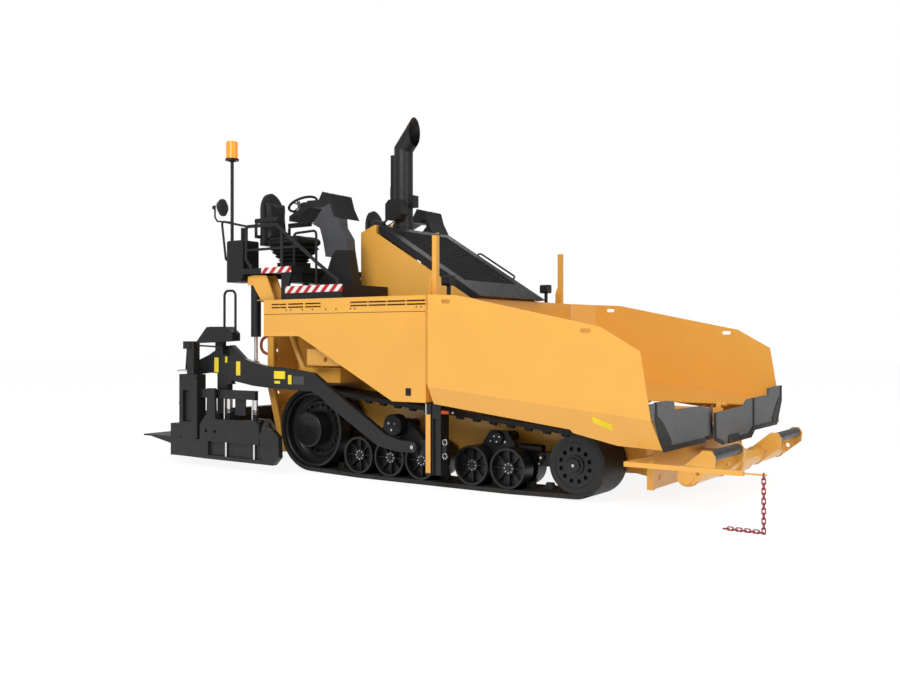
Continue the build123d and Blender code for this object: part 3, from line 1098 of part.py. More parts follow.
BARREL_END_Z = 1500.0
with BuildPart() as right_lift_barrel:
    rod((LIFT_X, -LIFT_Y, LIFT_TOP_Z + 12), (LIFT_X, -LIFT_Y, BARREL_END_Z), LIFT_BARREL_R)
    rod((LIFT_X, -LIFT_Y - 60, LIFT_TOP_Z), (LIFT_X, -LIFT_Y + 60, LIFT_TOP_Z), 40)
    rod((LIFT_X, -LIFT_Y - 61, LIFT_TOP_Z), (LIFT_X, -LIFT_Y + 61, LIFT_TOP_Z),
        18 + AXLE_PLAY, Mode.SUBTRACT)
    rod((LIFT_X, -LIFT_Y, BARREL_END_Z - 1), (LIFT_X, -LIFT_Y, LIFT_TOP_Z - 60),
        LIFT_ROD_R + 0.3, Mode.SUBTRACT)
save("right_lift_barrel", right_lift_barrel)

with BuildPart() as left_lift_barrel:
    mirror(right_lift_barrel.part, about=Plane.XZ)
save("left_lift_barrel", left_lift_barrel)

LIFT_PIN_R = 17.0
with BuildPart() as right_lift_rod:
    rod((LIFT_X, -LIFT_Y, LIFT_EYE_Z + 30), (LIFT_X, -LIFT_Y, 1800), LIFT_ROD_R)
    rod((LIFT_X, -LIFT_Y - 22, LIFT_EYE_Z), (LIFT_X, -LIFT_Y + 22, LIFT_EYE_Z),
        LIFT_PIN_R + LIFT_EYE_PLAY + 16)
    rod((LIFT_X, -LIFT_Y - 23, LIFT_EYE_Z), (LIFT_X, -LIFT_Y + 23, LIFT_EYE_Z),
        LIFT_PIN_R + LIFT_EYE_PLAY, Mode.SUBTRACT)
save("right_lift_rod", right_lift_rod)

with BuildPart() as left_lift_rod:
    mirror(right_lift_rod.part, about=Plane.XZ)
save("left_lift_rod", left_lift_rod)

# Screed ---------------------------------------------------------------------------

ARM_IN = ARM_OUTER - ARM_THICK
with BuildPart() as tow_arms:
    side_slab(
        [(-2586, 1362), (-2344, 1407), (-2281, 1364), (-2139, 1256), (-1954, 1205),
         (-1773, 1172), (-1400, 1150), (-1079, 1112), (-860, 975), (-82, 514), (100, 466),
         (234, 463), (290, 452), (314, 407), (290, 362), (258, 351), (40, 353), (-182, 391),
         (-805, 744), (-1000, 880), (-1107, 916), (-1683, 930), (-1987, 950), (-2354, 1004),
         (-2336, 959), (-2488, 959), (-2490, 1075), (-2700, 1085), (-3010, 1050), (-3021, 1100),
         (-2885, 1236), (-2718, 1294)],
        -ARM_OUTER, -ARM_IN,
    )
    for hole_x, hole_z, hole_r in ((-2210, 1118, 21), (-2400, 1300, 16), (-2640, 1240, 16)):
        rod((hole_x, -ARM_OUTER - 1, hole_z), (hole_x, -ARM_IN + 1, hole_z), hole_r, Mode.SUBTRACT)
    rod((TOW_X, -ARM_OUTER - 1, TOW_Z), (TOW_X, -ARM_IN + 1, TOW_Z), TOW_PIN_R + AXLE_PLAY,
        Mode.SUBTRACT)
    rod((LIFT_X, -ARM_IN - 10, LIFT_EYE_Z), (LIFT_X, -LIFT_Y + 26, LIFT_EYE_Z), LIFT_PIN_R)
    block((-2580, -2410), (-ARM_OUTER, -ARM_IN + 20), (620, 1400))
    mirror(about=Plane.XZ)
save("tow_arms", tow_arms)

with BuildPart() as screed_frame:
    block((SCREED_REAR, SCREED_FRONT), (-1385, 1385), (SOLE_TOP, 600))
    block((SCREED_REAR + 25, SCREED_FRONT - 25), (-1360, 1360), (SOLE_TOP - 1, 575),
          Mode.SUBTRACT)
    for side in (-1, 1):
        block((SCREED_REAR, SCREED_FRONT), (side * 1385, side * (ARM_OUTER)), (SOLE_TOP, 620))
    block((SCREED_REAR, SCREED_FRONT + 15), (-SCREED_HALF, SCREED_HALF), (SOLE_Z, SOLE_TOP))
    for side in (-1, 1):
        block((SLIDE_X - 55, SCREED_REAR + 60), (side * 1300, side * 1385),
              (SLIDE_Z - 60, SLIDE_Z + 60))
        rod((SLIDE_X, side * 1299, SLIDE_Z), (SLIDE_X, side * 1386, SLIDE_Z),
            SLIDE_R + AXLE_PLAY, Mode.SUBTRACT)
save("screed_frame", screed_frame)

with BuildPart() as screed_consoles:
    side_slab(
        [(-2810, 1428), (-2620, 1612), (-2560, 1618), (-2290, 1616), (-2185, 1540), (-2185, 1455),
         (-2480, 1440)],
        -1580, -1462,
    )
    block((-2560, -2430), (-1500, -ARM_OUTER), (1300, 1481))
    bent_bar(
        [(-2392, -1510, 1600), (-2392, -1510, 2024), (-2210, -1510, 2024), (-2210, -1510, 1530)],
        60, 14,
    )
    mirror(about=Plane.XZ)
save("screed_consoles", screed_consoles)

# Extensions: box behind the main screed, slide tube, tower, end gate on two springs, its
# shoe and the jack that sets the gate's height
EXT_GAP = 12.0
WALK_STATIONS = (-1200.0, -400.0)
WALK_LUG = 50.0
WALK_PIN_R = 12.0
WALK_EYE_R = 20.0
BEAM_OUTER, BEAM_INNER = 1562.0, 1514.0
BEAM_BOTTOM, SHELF_TOP = 800.0, 562.0
SPRING_Y, SPRING_R = 1540.0, 24.0
# Where each spring and the lifting rod beside it stand on the shelf
SPRING_PAIRS = ((-2280.0, -2357.0), (-1853.0, -1901.0))
GATE_TOWER_TOP, JACK_TOP = 1066.0, 1450.0
GATE_PLATE = (
    (-2702, 310), (-2702, 498), (-2589, 621), (-2580, 913), (-2450, 917), (-2442, 570),
    (-2399, 560), (-1788, 579), (-1733, 525), (-1733, 313),
)
SHOE_RUNNER = (
    (-3153, 150), (-3153, 114), (-2606, 106), (-1520, 106), (-1428, 196), (-1440, 420),
    (-1536, 492), (-1630, 498), (-1735, 440), (-1690, 150),
)

with BuildPart() as right_extension:
    block((EXT_REAR, EXT_FRONT), (-GATE_OUTER + GATE_THICK, -EXT_GAP), (SOLE_Z, 480))
    rod((SLIDE_X, -GATE_BACK - 1, SLIDE_Z), (SLIDE_X, -EXT_GAP, SLIDE_Z), SLIDE_R)
    for lug_y in WALK_STATIONS:
        side_slab(
            [(WALK_HINGE_X, WALK_HINGE_Z - WALK_EYE_R), (EXT_REAR + 1, WALK_HINGE_Z - 34),
             (EXT_REAR + 1, WALK_HINGE_Z + 34), (WALK_HINGE_X, WALK_HINGE_Z + WALK_EYE_R)],
            lug_y, lug_y + WALK_LUG,
        )
        rod((WALK_HINGE_X, lug_y, WALK_HINGE_Z), (WALK_HINGE_X, lug_y + WALK_LUG, WALK_HINGE_Z),
            WALK_EYE_R)
        rod((WALK_HINGE_X, lug_y - 1, WALK_HINGE_Z),
            (WALK_HINGE_X, lug_y + WALK_LUG + 1, WALK_HINGE_Z),
            WALK_PIN_R + AXLE_PLAY, Mode.SUBTRACT)
    gate_inner = -GATE_OUTER + GATE_THICK
    side_slab(GATE_PLATE, -GATE_OUTER, gate_inner)
    for hole_x in (-2597, -2450):
        rod((hole_x, -GATE_OUTER - 1, 425), (hole_x, gate_inner + 1, 425), 22, Mode.SUBTRACT)
    side_slab(SHOE_RUNNER, -GATE_OUTER, -GATE_OUTER + 60)
    block((-3088, -2562), (-GATE_OUTER, gate_inner), (140, 320))
    block((-2563, -1689), (gate_inner, gate_inner + 15), (145, 340))
    block((-3063, -2750), (-GATE_OUTER, -GATE_BACK), (275, GATE_TOWER_TOP))
    block((-3000, -2860), (-GATE_OUTER - 1, gate_inner), (515, 883), Mode.SUBTRACT)
    block((-2751, -1840), (-BEAM_OUTER, -BEAM_INNER), (BEAM_BOTTOM, BEAM_BOTTOM + 100))
    block((-2588, -1788), (gate_inner - 2, -BEAM_INNER), (SHELF_TOP - 26, SHELF_TOP))
    block((-2200, -2030), (-BEAM_INNER - 10, -BEAM_INNER), (616, BEAM_BOTTOM + 1))
    for spring_x, lift_rod_x in SPRING_PAIRS:
        rod((spring_x, -SPRING_Y, SHELF_TOP - 1), (spring_x, -SPRING_Y, BEAM_BOTTOM + 1), SPRING_R)
        rod((lift_rod_x, -SPRING_Y, SHELF_TOP - 1), (lift_rod_x, -SPRING_Y, BEAM_BOTTOM + 1), 8)
    for pin_x in (-2272, -1820):
        rod((pin_x, gate_inner - 15, 147), (pin_x, gate_inner - 15, 330), 12)
    block((-2944, -2826), (-1590, -1500), (GATE_TOWER_TOP - 1, JACK_TOP))
    block((-3004, -2885), (-1598, -1490), (JACK_TOP - 89, JACK_TOP))
    rod((-2995, -SPRING_Y, JACK_TOP - 80), (-3021, -SPRING_Y, 1108), 10)
    rod((-3158, -SPRING_Y, 1100), (-2900, -SPRING_Y, 1116), 12)
    rod((-2900, -1560, 1405), (-2380, -1560, 1385), 10)
    rod((-3134, -SPRING_Y, 718), (-3060, -SPRING_Y, 718), 14)
save("right_extension", right_extension)

with BuildPart() as left_extension:
    mirror(right_extension.part, about=Plane.XZ)
save("left_extension", left_extension)

with BuildPart() as right_walkway:
    block((WALK_HINGE_X - WALK_DEPTH, WALK_HINGE_X - 6), (-1540, -EXT_GAP - 20), (300, 318))
    for gusset_y in (-1530, -780, -60):
        side_slab(
            [(-3700, 301), (WALK_HINGE_X - 8, 230), (WALK_HINGE_X - 8, 301)],
            gusset_y, gusset_y + 12,
        )
    for lug_y in WALK_STATIONS:
        eye = (lug_y + WALK_LUG + 2, lug_y + 2 * WALK_LUG + 2)
        rod((WALK_HINGE_X, lug_y - 4, WALK_HINGE_Z), (WALK_HINGE_X, eye[1], WALK_HINGE_Z),
            WALK_PIN_R)
        rod((WALK_HINGE_X, eye[0], WALK_HINGE_Z), (WALK_HINGE_X, eye[1], WALK_HINGE_Z), WALK_EYE_R)
        block((WALK_HINGE_X - WALK_EYE_R, WALK_HINGE_X - 6), eye, (310, WALK_HINGE_Z))
save("right_walkway", right_walkway)

with BuildPart() as left_walkway:
    mirror(right_walkway.part, about=Plane.XZ)
save("left_walkway", left_walkway)

# Augers ------------------------------------------------------------------------------

FLIGHT_STEPS = 8
FLIGHT_HALF_THICK = 8.0


def auger_flight(hand):
    """Add one screw flight as short twisted sectors round the shaft."""
    turns = (AUGER_END - 120) / AUGER_PITCH
    count = int(turns * FLIGHT_STEPS)
    advance = AUGER_PITCH / FLIGHT_STEPS
    half_angle = 180 / FLIGHT_STEPS
    for step in range(count):
        y = -(90 + step * advance)
        turn = hand * step * 360 / FLIGHT_STEPS
        with BuildSketch(Plane(origin=(AUGER_X, y, AUGER_Z), z_dir=(0, -1, 0))) as sector:
            with BuildLine():
                low, high = radians(turn - half_angle - 2), radians(turn + half_angle + 2)
                Polyline(
                    (AUGER_SHAFT_R * 0.8 * cos(low), AUGER_SHAFT_R * 0.8 * sin(low)),
                    (AUGER_R * cos(low), AUGER_R * sin(low)),
                    (AUGER_R * cos(high), AUGER_R * sin(high)),
                    (AUGER_SHAFT_R * 0.8 * cos(high), AUGER_SHAFT_R * 0.8 * sin(high)),
                    close=True,
                )
            make_face()
        extrude(sector.sketch, amount=advance + 4)


with BuildPart() as right_auger:
    rod((AUGER_X, -61 - SEAT_GAP, AUGER_Z), (AUGER_X, -AUGER_END, AUGER_Z), AUGER_SHAFT_R)
    rod((AUGER_X, -AUGER_END + 1, AUGER_Z), (AUGER_X, -AUGER_END - 24, AUGER_Z), 25)
    auger_flight(1)
save("right_auger", right_auger)

with BuildPart() as left_auger:
    mirror(right_auger.part, about=Plane.XZ)
save("left_auger", left_auger)

with BuildPart() as auger_beam:
    block((AUGER_X - 60, AUGER_X + 60), (-AUGER_END - 30, AUGER_END + 30), (600, 690))
    for side in (-1, 1):
        block((AUGER_X - 50, AUGER_X + 50), (side * (AUGER_END + 6), side * (AUGER_END + 22)),
              (AUGER_Z - 60, 601))
        rod((AUGER_X, side * (AUGER_END + 5), AUGER_Z), (AUGER_X, side * (AUGER_END + 40), AUGER_Z),
            25 + AXLE_PLAY, Mode.SUBTRACT)
    block((AUGER_X - 90, AUGER_X + 90), (-61, 61), (AUGER_Z - 120, 601))
    block((AUGER_X + 59, REAR_WALL_X), (-44.7, 44.7), (600, 690))
save("auger_beam", auger_beam)
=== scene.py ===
import json
import math

import bmesh
import bpy
from mathutils import Matrix, Vector
from mathutils.bvhtree import BVHTree


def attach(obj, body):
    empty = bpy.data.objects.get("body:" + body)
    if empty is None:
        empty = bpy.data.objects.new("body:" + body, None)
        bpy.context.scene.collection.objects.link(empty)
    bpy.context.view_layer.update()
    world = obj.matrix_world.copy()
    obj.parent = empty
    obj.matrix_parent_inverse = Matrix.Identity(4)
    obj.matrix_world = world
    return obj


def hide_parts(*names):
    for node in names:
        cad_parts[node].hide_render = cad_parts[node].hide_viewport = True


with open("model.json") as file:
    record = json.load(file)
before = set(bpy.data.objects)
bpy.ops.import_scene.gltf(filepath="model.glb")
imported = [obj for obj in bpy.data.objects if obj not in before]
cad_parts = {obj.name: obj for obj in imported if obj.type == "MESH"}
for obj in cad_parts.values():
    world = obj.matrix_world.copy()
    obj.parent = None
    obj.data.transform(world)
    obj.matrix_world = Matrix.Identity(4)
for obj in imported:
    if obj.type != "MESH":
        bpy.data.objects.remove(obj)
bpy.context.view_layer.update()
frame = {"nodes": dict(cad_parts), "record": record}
scene = bpy.context.scene
nodes = frame["nodes"]

# Camera -----------------------------------------------------------------------

VIEW_AZIMUTH = math.radians(35.09)
VIEW_PITCH = math.radians(0.082)
camera_data = bpy.data.cameras.new("camera")
camera_data.sensor_width = 36.0
camera_data.lens = 38.248
camera_data.clip_end = 200.0
camera = bpy.data.objects.new("camera", camera_data)
camera.location = (5.9921, -8.9640, 1.4778)
camera.rotation_euler = (math.pi / 2 + VIEW_PITCH, 0.0, VIEW_AZIMUTH)
scene.collection.objects.link(camera)
scene.camera = camera


# Materials --------------------------------------------------------------------


class Shader:
    """Builds one procedural material round a Principled shader."""

    def __init__(self, name, color, rough, metallic=0.0, coat=0.0):
        self.material = bpy.data.materials.new(name)
        self.material.use_nodes = True
        self.tree = self.material.node_tree
        self.bsdf = self.tree.nodes["Principled BSDF"]
        self.bsdf.inputs["Roughness"].default_value = rough
        self.bsdf.inputs["Metallic"].default_value = metallic
        self.bsdf.inputs["Coat Weight"].default_value = coat
        self.bsdf.inputs["Coat Roughness"].default_value = 0.12
        self.bsdf.inputs["Specular IOR Level"].default_value = 0.35
        self.coords = self.add("ShaderNodeTexCoord").outputs["Object"]
        rgb = self.add("ShaderNodeRGB")
        rgb.outputs[0].default_value = (*color, 1.0)
        self.color = rgb.outputs[0]
        self.rough = None
        self.height = None

    def add(self, kind, **values):
        node = self.tree.nodes.new(kind)
        for key, value in values.items():
            setattr(node, key, value)
        return node

    def link(self, out, into):
        self.tree.links.new(out, into)

    def noise(self, scale, detail=4.0, stretch=None):
        """Noise over object coordinates; scale is in repeats per metre."""
        node = self.add("ShaderNodeTexNoise")
        node.inputs["Scale"].default_value = scale
        node.inputs["Detail"].default_value = detail
        source = self.coords
        if stretch:
            mapping = self.add("ShaderNodeMapping")
            mapping.inputs["Scale"].default_value = stretch
            self.link(source, mapping.inputs["Vector"])
            source = mapping.outputs["Vector"]
        self.link(source, node.inputs["Vector"])
        return node.outputs["Fac"]

    def ramp(self, value, low, high, from_low, from_high):
        """Map value from one range onto another, clamped."""
        node = self.add("ShaderNodeMapRange")
        node.inputs["From Min"].default_value = from_low
        node.inputs["From Max"].default_value = from_high
        node.inputs["To Min"].default_value = low
        node.inputs["To Max"].default_value = high
        self.link(value, node.inputs["Value"])
        return node.outputs["Result"]

    def tint(self, color, factor):
        """Blend another colour in where factor is high."""
        mix = self.add("ShaderNodeMix", data_type="RGBA")
        self.link(factor, mix.inputs["Factor"])
        self.link(self.color, mix.inputs[6])
        mix.inputs[7].default_value = (*color, 1.0)
        self.color = mix.outputs[2]

    def low_dust(self, color, top, amount):
        """Dust that grows towards the ground, broken up by noise."""
        split = self.add("ShaderNodeSeparateXYZ")
        self.link(self.coords, split.inputs[0])
        fall = self.ramp(split.outputs["Z"], amount, 0.0, 0.0, top)
        patch = self.ramp(self.noise(9.0, 6.0), 0.3, 1.0, 0.35, 0.65)
        product = self.add("ShaderNodeMath", operation="MULTIPLY")
        self.link(fall, product.inputs[0])
        self.link(patch, product.inputs[1])
        self.tint(color, product.outputs[0])

    def bump(self, value, distance):
        """Add relief that stands distance metres high where value is 1."""
        scaled = self.add("ShaderNodeMath", operation="MULTIPLY")
        self.link(value, scaled.inputs[0])
        scaled.inputs[1].default_value = distance
        if self.height is None:
            self.height = scaled.outputs[0]
            return
        both = self.add("ShaderNodeMath", operation="ADD")
        self.link(self.height, both.inputs[0])
        self.link(scaled.outputs[0], both.inputs[1])
        self.height = both.outputs[0]

    def done(self):
        """Wire colour, roughness and relief into the shader."""
        self.link(self.color, self.bsdf.inputs["Base Color"])
        if self.rough is not None:
            self.link(self.rough, self.bsdf.inputs["Roughness"])
        if self.height is not None:
            node = self.add("ShaderNodeBump")
            node.inputs["Distance"].default_value = 1.0
            node.inputs["Strength"].default_value = 1.0
            self.link(self.height, node.inputs["Height"])
            self.link(node.outputs["Normal"], self.bsdf.inputs["Normal"])
        return self.material


DUST = (0.30, 0.26, 0.21)


def paint(name, color, rough, coat, spread=0.06, dust=0.10):
    """Sprayed steel: faint mottling, orange peel and dust near the ground."""
    made = Shader(name, color, rough, coat=coat)
    darker = tuple(c * (1 - spread * 2) for c in color)
    made.tint(darker, made.ramp(made.noise(2.2, 3.0), 0.0, 0.8, 0.4, 0.75))
    made.low_dust(DUST, 0.9, dust)
    made.rough = made.ramp(made.noise(14.0, 5.0), rough - 0.05, rough + 0.08, 0.3, 0.7)
    made.bump(made.noise(260.0, 2.0), 0.00022)
    made.bump(made.noise(3.0, 2.0), 0.0016)
    return made.done()


def rubber(name, color, rough, grain=420.0, dust=0.2):
    """Moulded rubber: pale scuffs, a fine grain and dust near the ground."""
    made = Shader(name, color, rough)
    made.tint(tuple(c * 1.45 for c in color),
              made.ramp(made.noise(26.0, 6.0), 0.0, 0.5, 0.45, 0.75))
    made.low_dust(DUST, 0.6, dust)
    made.rough = made.ramp(made.noise(30.0, 5.0), rough - 0.08, rough + 0.08, 0.3, 0.7)
    made.bump(made.noise(grain, 3.0), 0.0004)
    return made.done()


def plastic(name, color, rough, grain=700.0, depth=0.0003, spread=0.05):
    """Moulded plastic or vinyl with a pebbled grain."""
    made = Shader(name, color, rough)
    made.tint(tuple(c * (1 + spread * 4) for c in color),
              made.ramp(made.noise(4.0, 4.0), 0.0, 0.7, 0.45, 0.7))
    made.rough = made.ramp(made.noise(22.0, 4.0), rough - 0.06, rough + 0.06, 0.3, 0.7)
    cells = made.add("ShaderNodeTexVoronoi")
    cells.inputs["Scale"].default_value = grain
    made.link(made.coords, cells.inputs["Vector"])
    made.bump(cells.outputs["Distance"], depth)
    return made.done()


def metal(name, color, rough, brushed=None, wear=None):
    """Bare metal, brushed along one axis or stained where wear is given."""
    made = Shader(name, color, rough, metallic=1.0)
    grain = made.noise(90.0, 4.0, brushed)
    made.rough = made.ramp(grain, rough - 0.06, rough + 0.12, 0.3, 0.7)
    if wear:
        made.tint(wear, made.ramp(made.noise(12.0, 6.0), 0.0, 0.9, 0.5, 0.7))
    made.bump(grain, 0.00015)
    return made.done()


YELLOW = (0.87, 0.435, 0.072)
MAT = {
    "yellow_paint": paint("yellow_paint", YELLOW, 0.36, 0.35, spread=0.03, dust=0.05),
    "black_paint": paint("black_paint", (0.010, 0.010, 0.0105), 0.46, 0.0, dust=0.02),
    "charcoal_paint": paint("charcoal_paint", (0.0125, 0.0125, 0.013), 0.44, 0.05, dust=0.03),
    "track_rubber": rubber("track_rubber", (0.0105, 0.0105, 0.0105), 0.62, dust=0.07),
    "grey_rubber": rubber("grey_rubber", (0.112, 0.115, 0.118), 0.55, dust=0.02),
    "wheel_paint": paint("wheel_paint", (0.0085, 0.009, 0.0095), 0.38, 0.1, dust=0.03),
    "chrome": metal("chrome", (0.72, 0.72, 0.73), 0.12),
    "red_paint": paint("red_paint", (0.34, 0.018, 0.03), 0.38, 0.2, dust=0.05),
    "grey_plastic": plastic("grey_plastic", (0.060, 0.062, 0.068), 0.48),
    "black_plastic": plastic("black_plastic", (0.0095, 0.0095, 0.010), 0.45),
    "seat_cover": plastic("seat_cover", (0.014, 0.014, 0.0145), 0.55, 420.0, 0.0006, 0.1),
    "bellows_rubber": rubber("bellows_rubber", (0.008, 0.008, 0.008), 0.6, dust=0.0),
    "cast_iron": metal("cast_iron", (0.05, 0.05, 0.052), 0.6, wear=(0.04, 0.028, 0.02)),
    "steel": metal("steel", (0.33, 0.33, 0.34), 0.38, (1.0, 6.0, 6.0), (0.16, 0.12, 0.09)),
    "guide_orange": rubber("guide_orange", (0.42, 0.11, 0.03), 0.5, dust=0.0),
    "silver": metal("silver", (0.60, 0.60, 0.61), 0.26),
    "plate_yellow": plastic("plate_yellow", (0.86, 0.66, 0.02), 0.4),
    "plate_orange": plastic("plate_orange", (0.80, 0.10, 0.01), 0.4),
    "mesh_black": plastic("mesh_black", (0.004, 0.004, 0.004), 0.8, 90.0, 0.0015),
    "edge_rubber": rubber("edge_rubber", (0.012, 0.012, 0.012), 0.55, dust=0.0),
    "mirror_glass": metal("mirror_glass", (0.80, 0.81, 0.82), 0.05),
}


STRIPE_WIDTH = 0.031


def striped(name):
    """Red and white warning stripes, slanting across a vertical board."""
    made = Shader(name, (0.82, 0.80, 0.79), 0.4, coat=0.2)
    split = made.add("ShaderNodeSeparateXYZ")
    made.link(made.coords, split.inputs[0])
    slant = made.add("ShaderNodeMath", operation="SUBTRACT")
    made.link(split.outputs["X"], slant.inputs[0])
    made.link(split.outputs["Z"], slant.inputs[1])
    wave = made.add("ShaderNodeMath", operation="PINGPONG")
    made.link(slant.outputs[0], wave.inputs[0])
    wave.inputs[1].default_value = STRIPE_WIDTH * 2
    step = made.add("ShaderNodeMath", operation="GREATER_THAN")
    made.link(wave.outputs[0], step.inputs[0])
    step.inputs[1].default_value = STRIPE_WIDTH
    made.tint((0.50, 0.012, 0.014), step.outputs[0])
    made.rough = made.ramp(made.noise(30.0, 4.0), 0.32, 0.48, 0.3, 0.7)
    made.bump(made.noise(500.0, 2.0), 0.0002)
    return made.done()


def lens(name, color):
    """Coloured lens plastic with a faint glow of its own."""
    made = Shader(name, color, 0.18, coat=0.4)
    made.tint(tuple(c * 0.6 for c in color),
              made.ramp(made.noise(6.0, 2.0), 0.0, 0.4, 0.4, 0.7))
    made.bump(made.noise(120.0, 2.0), 0.00005)
    made.bsdf.inputs["Emission Color"].default_value = (*color, 1.0)
    made.bsdf.inputs["Emission Strength"].default_value = 0.35
    return made.done()


MAT["hazard"] = striped("hazard")
MAT["amber_lens"] = lens("amber_lens", (1.0, 0.30, 0.012))

slot_of = {row["node"]: row["material_slot"] for row in frame["record"]["subparts"]}
for name, node in nodes.items():
    node.data.materials.clear()
    node.data.materials.append(MAT[slot_of[name]])
nodes["hood_grille"].data.materials[0] = MAT["mesh_black"]


# Pieces -----------------------------------------------------------------------
# Drawn in millimetres. On a sided piece the second coordinate is the distance out from the
# machine's centre plane, so that one description serves both sides.

MM = 0.001
HEX = 6
SHARP_EDGE = math.radians(35)
RIGHT, LEFT = -1, 1
SIDES = (("right", RIGHT), ("left", LEFT))


def oblong(xs, zs):
    return ((xs[0], zs[0]), (xs[1], zs[0]), (xs[1], zs[1]), (xs[0], zs[1]))


def circle(count, turn=0.0):
    """Evenly spaced angles round a circle."""
    return [turn + 2 * math.pi * k / count for k in range(count)]


class Piece:
    """A mesh piece built up from closed solids."""

    def __init__(self, name, side=LEFT):
        self.name = name
        self.side = side
        self.mesh = bmesh.new()

    def at(self, point):
        """The place in the frame, in metres, of a point of the piece."""
        return Vector((point[0], self.side * point[1], point[2])) * MM

    def loft(self, rings):
        """Close a solid through rings of equally many points."""
        made = [[self.mesh.verts.new(self.at(p)) for p in ring] for ring in rings]
        for low, high in zip(made, made[1:]):
            for i in range(len(low)):
                j = (i + 1) % len(low)
                self.mesh.faces.new((low[i], low[j], high[j], high[i]))
        self.mesh.faces.new(made[0][::-1])
        self.mesh.faces.new(made[-1])

    def box(self, xs, outs, zs):
        self.slab(oblong(xs, zs), *outs)

    def slab(self, outline, inner, outer):
        """Extrude an outline of (x, z) points across the machine."""
        self.loft([[(x, out, z) for x, z in outline] for out in (inner, outer)])

    def front_slab(self, outline, rear, front):
        """Extrude an outline of (out, z) points along the machine."""
        self.loft([[(x, out, z) for out, z in outline] for x in (rear, front)])

    def tube(self, path, radius, sides=16):
        """A round bar through two or more points."""
        points = [Vector(p) for p in path]
        rings = []
        across = None
        for i, point in enumerate(points):
            ahead = (points[min(i + 1, len(points) - 1)] - points[max(i - 1, 0)]).normalized()
            if across is None:
                across = ahead.orthogonal().normalized()
            across = (across - ahead * across.dot(ahead)).normalized()
            other = ahead.cross(across)
            rings.append([point + (across * math.cos(turn) + other * math.sin(turn)) * radius
                          for turn in circle(sides)])
        self.loft(rings)

    def pin(self, x, z, inner, outer, radius, sides=16):
        """A round bar across the machine."""
        self.tube([(x, inner, z), (x, outer, z)], radius, sides)

    def ring(self, centre, normal, radius, grip, around=48, section=10):
        """A closed hoop."""
        normal = Vector(normal).normalized()
        across = normal.orthogonal().normalized()
        other = normal.cross(across)
        loops = []
        for turn in circle(around):
            out = across * math.cos(turn) + other * math.sin(turn)
            middle = Vector(centre) + out * radius
            loops.append([self.mesh.verts.new(self.at(
                middle + (out * math.cos(s) + normal * math.sin(s)) * grip))
                for s in circle(section)])
        for i, loop in enumerate(loops):
            ahead = loops[(i + 1) % around]
            for k in range(section):
                m = (k + 1) % section
                self.mesh.faces.new((loop[k], loop[m], ahead[m], ahead[k]))

    def bolt_circle(self, x, z, inner, outer, pitch, count, radius, turn=0.0):
        """Hexagon heads evenly spaced on a circle of radius pitch."""
        for angle in circle(count, turn):
            self.pin(x + pitch * math.cos(angle), z + pitch * math.sin(angle),
                     inner, outer, radius, HEX)

    def place(self, body, finish, bevel=0.0):
        """Make the object, give it its material and let it ride its body."""
        bmesh.ops.recalc_face_normals(self.mesh, faces=self.mesh.faces)
        data = bpy.data.meshes.new(self.name)
        self.mesh.to_mesh(data)
        self.mesh.free()
        data.materials.append(MAT[finish])
        thing = bpy.data.objects.new(self.name, data)
        scene.collection.objects.link(thing)
        if bevel:
            rounding = thing.modifiers.new("edge_rounding", "BEVEL")
            rounding.width = bevel * MM
            rounding.segments = 2
            rounding.limit_method = "ANGLE"
        data.shade_smooth()
        data.set_sharp_from_angle(angle=SHARP_EDGE)
        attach(thing, body)
        return thing


class Skin:
    """The outer face of a CAD node, seen from its side of the machine."""

    LOOK_FROM = 3000.0

    def __init__(self, node):
        form = bmesh.new()
        form.from_mesh(nodes[node].data)
        self.tree = BVHTree.FromBMesh(form)
        form.free()

    def hit(self, x, z, side):
        start = Vector((x, side * self.LOOK_FROM, z)) * MM
        return self.tree.ray_cast(start, Vector((0.0, -side, 0.0)))[0]

    def out(self, x, z, side):
        """Distance of the face from the centre plane."""
        return abs(self.hit(x, z, side).y) / MM

    def low_edge(self, x, side):
        """Height of the node's lowest point seen at x."""
        return next(z for z in range(500, 1500, 4) if self.hit(x, z, side))


LABEL_SINK, LABEL_THICK = 1.0, 1.6


def label(piece, skin, outline):
    """A thin blank plate that lies on a node's outer face."""
    outs = [skin.out(x, z, piece.side) for x, z in outline]
    piece.loft([[(x, out + lift, z) for (x, z), out in zip(outline, outs)]
                for lift in (-LABEL_SINK, LABEL_THICK)])


# Undercarriage: wheel nuts, hub bolts and the bolts on pivot caps and brackets

BOGIE_X = (-668.5, -250.5, 154.5, 775.5, 1192.5)
BOGIE_Z, BOGIE_FACE = 239.3, 1160.0
DRIVE_X, DRIVE_Z = -1337.5, 480.0
DRIVE_DISC_FACE, DRIVE_HUB_FACE = 1092.0, 1254.0
DRIVE_DISC_BOLTS, DRIVE_HUB_BOLTS = 262, 128
IDLER_X, IDLER_Z, IDLER_FACE = 1917.5, 327.0, 1222.0
REAR_PIVOT, REAR_PIVOT_FACE = (-257, 570), 1130.0
FRONT_PIVOT, FRONT_PIVOT_FACE = (984, 505), 1040.0
FRONT_ROW_X = (892, 948, 1004, 1060)
BOLT_SINK = 4

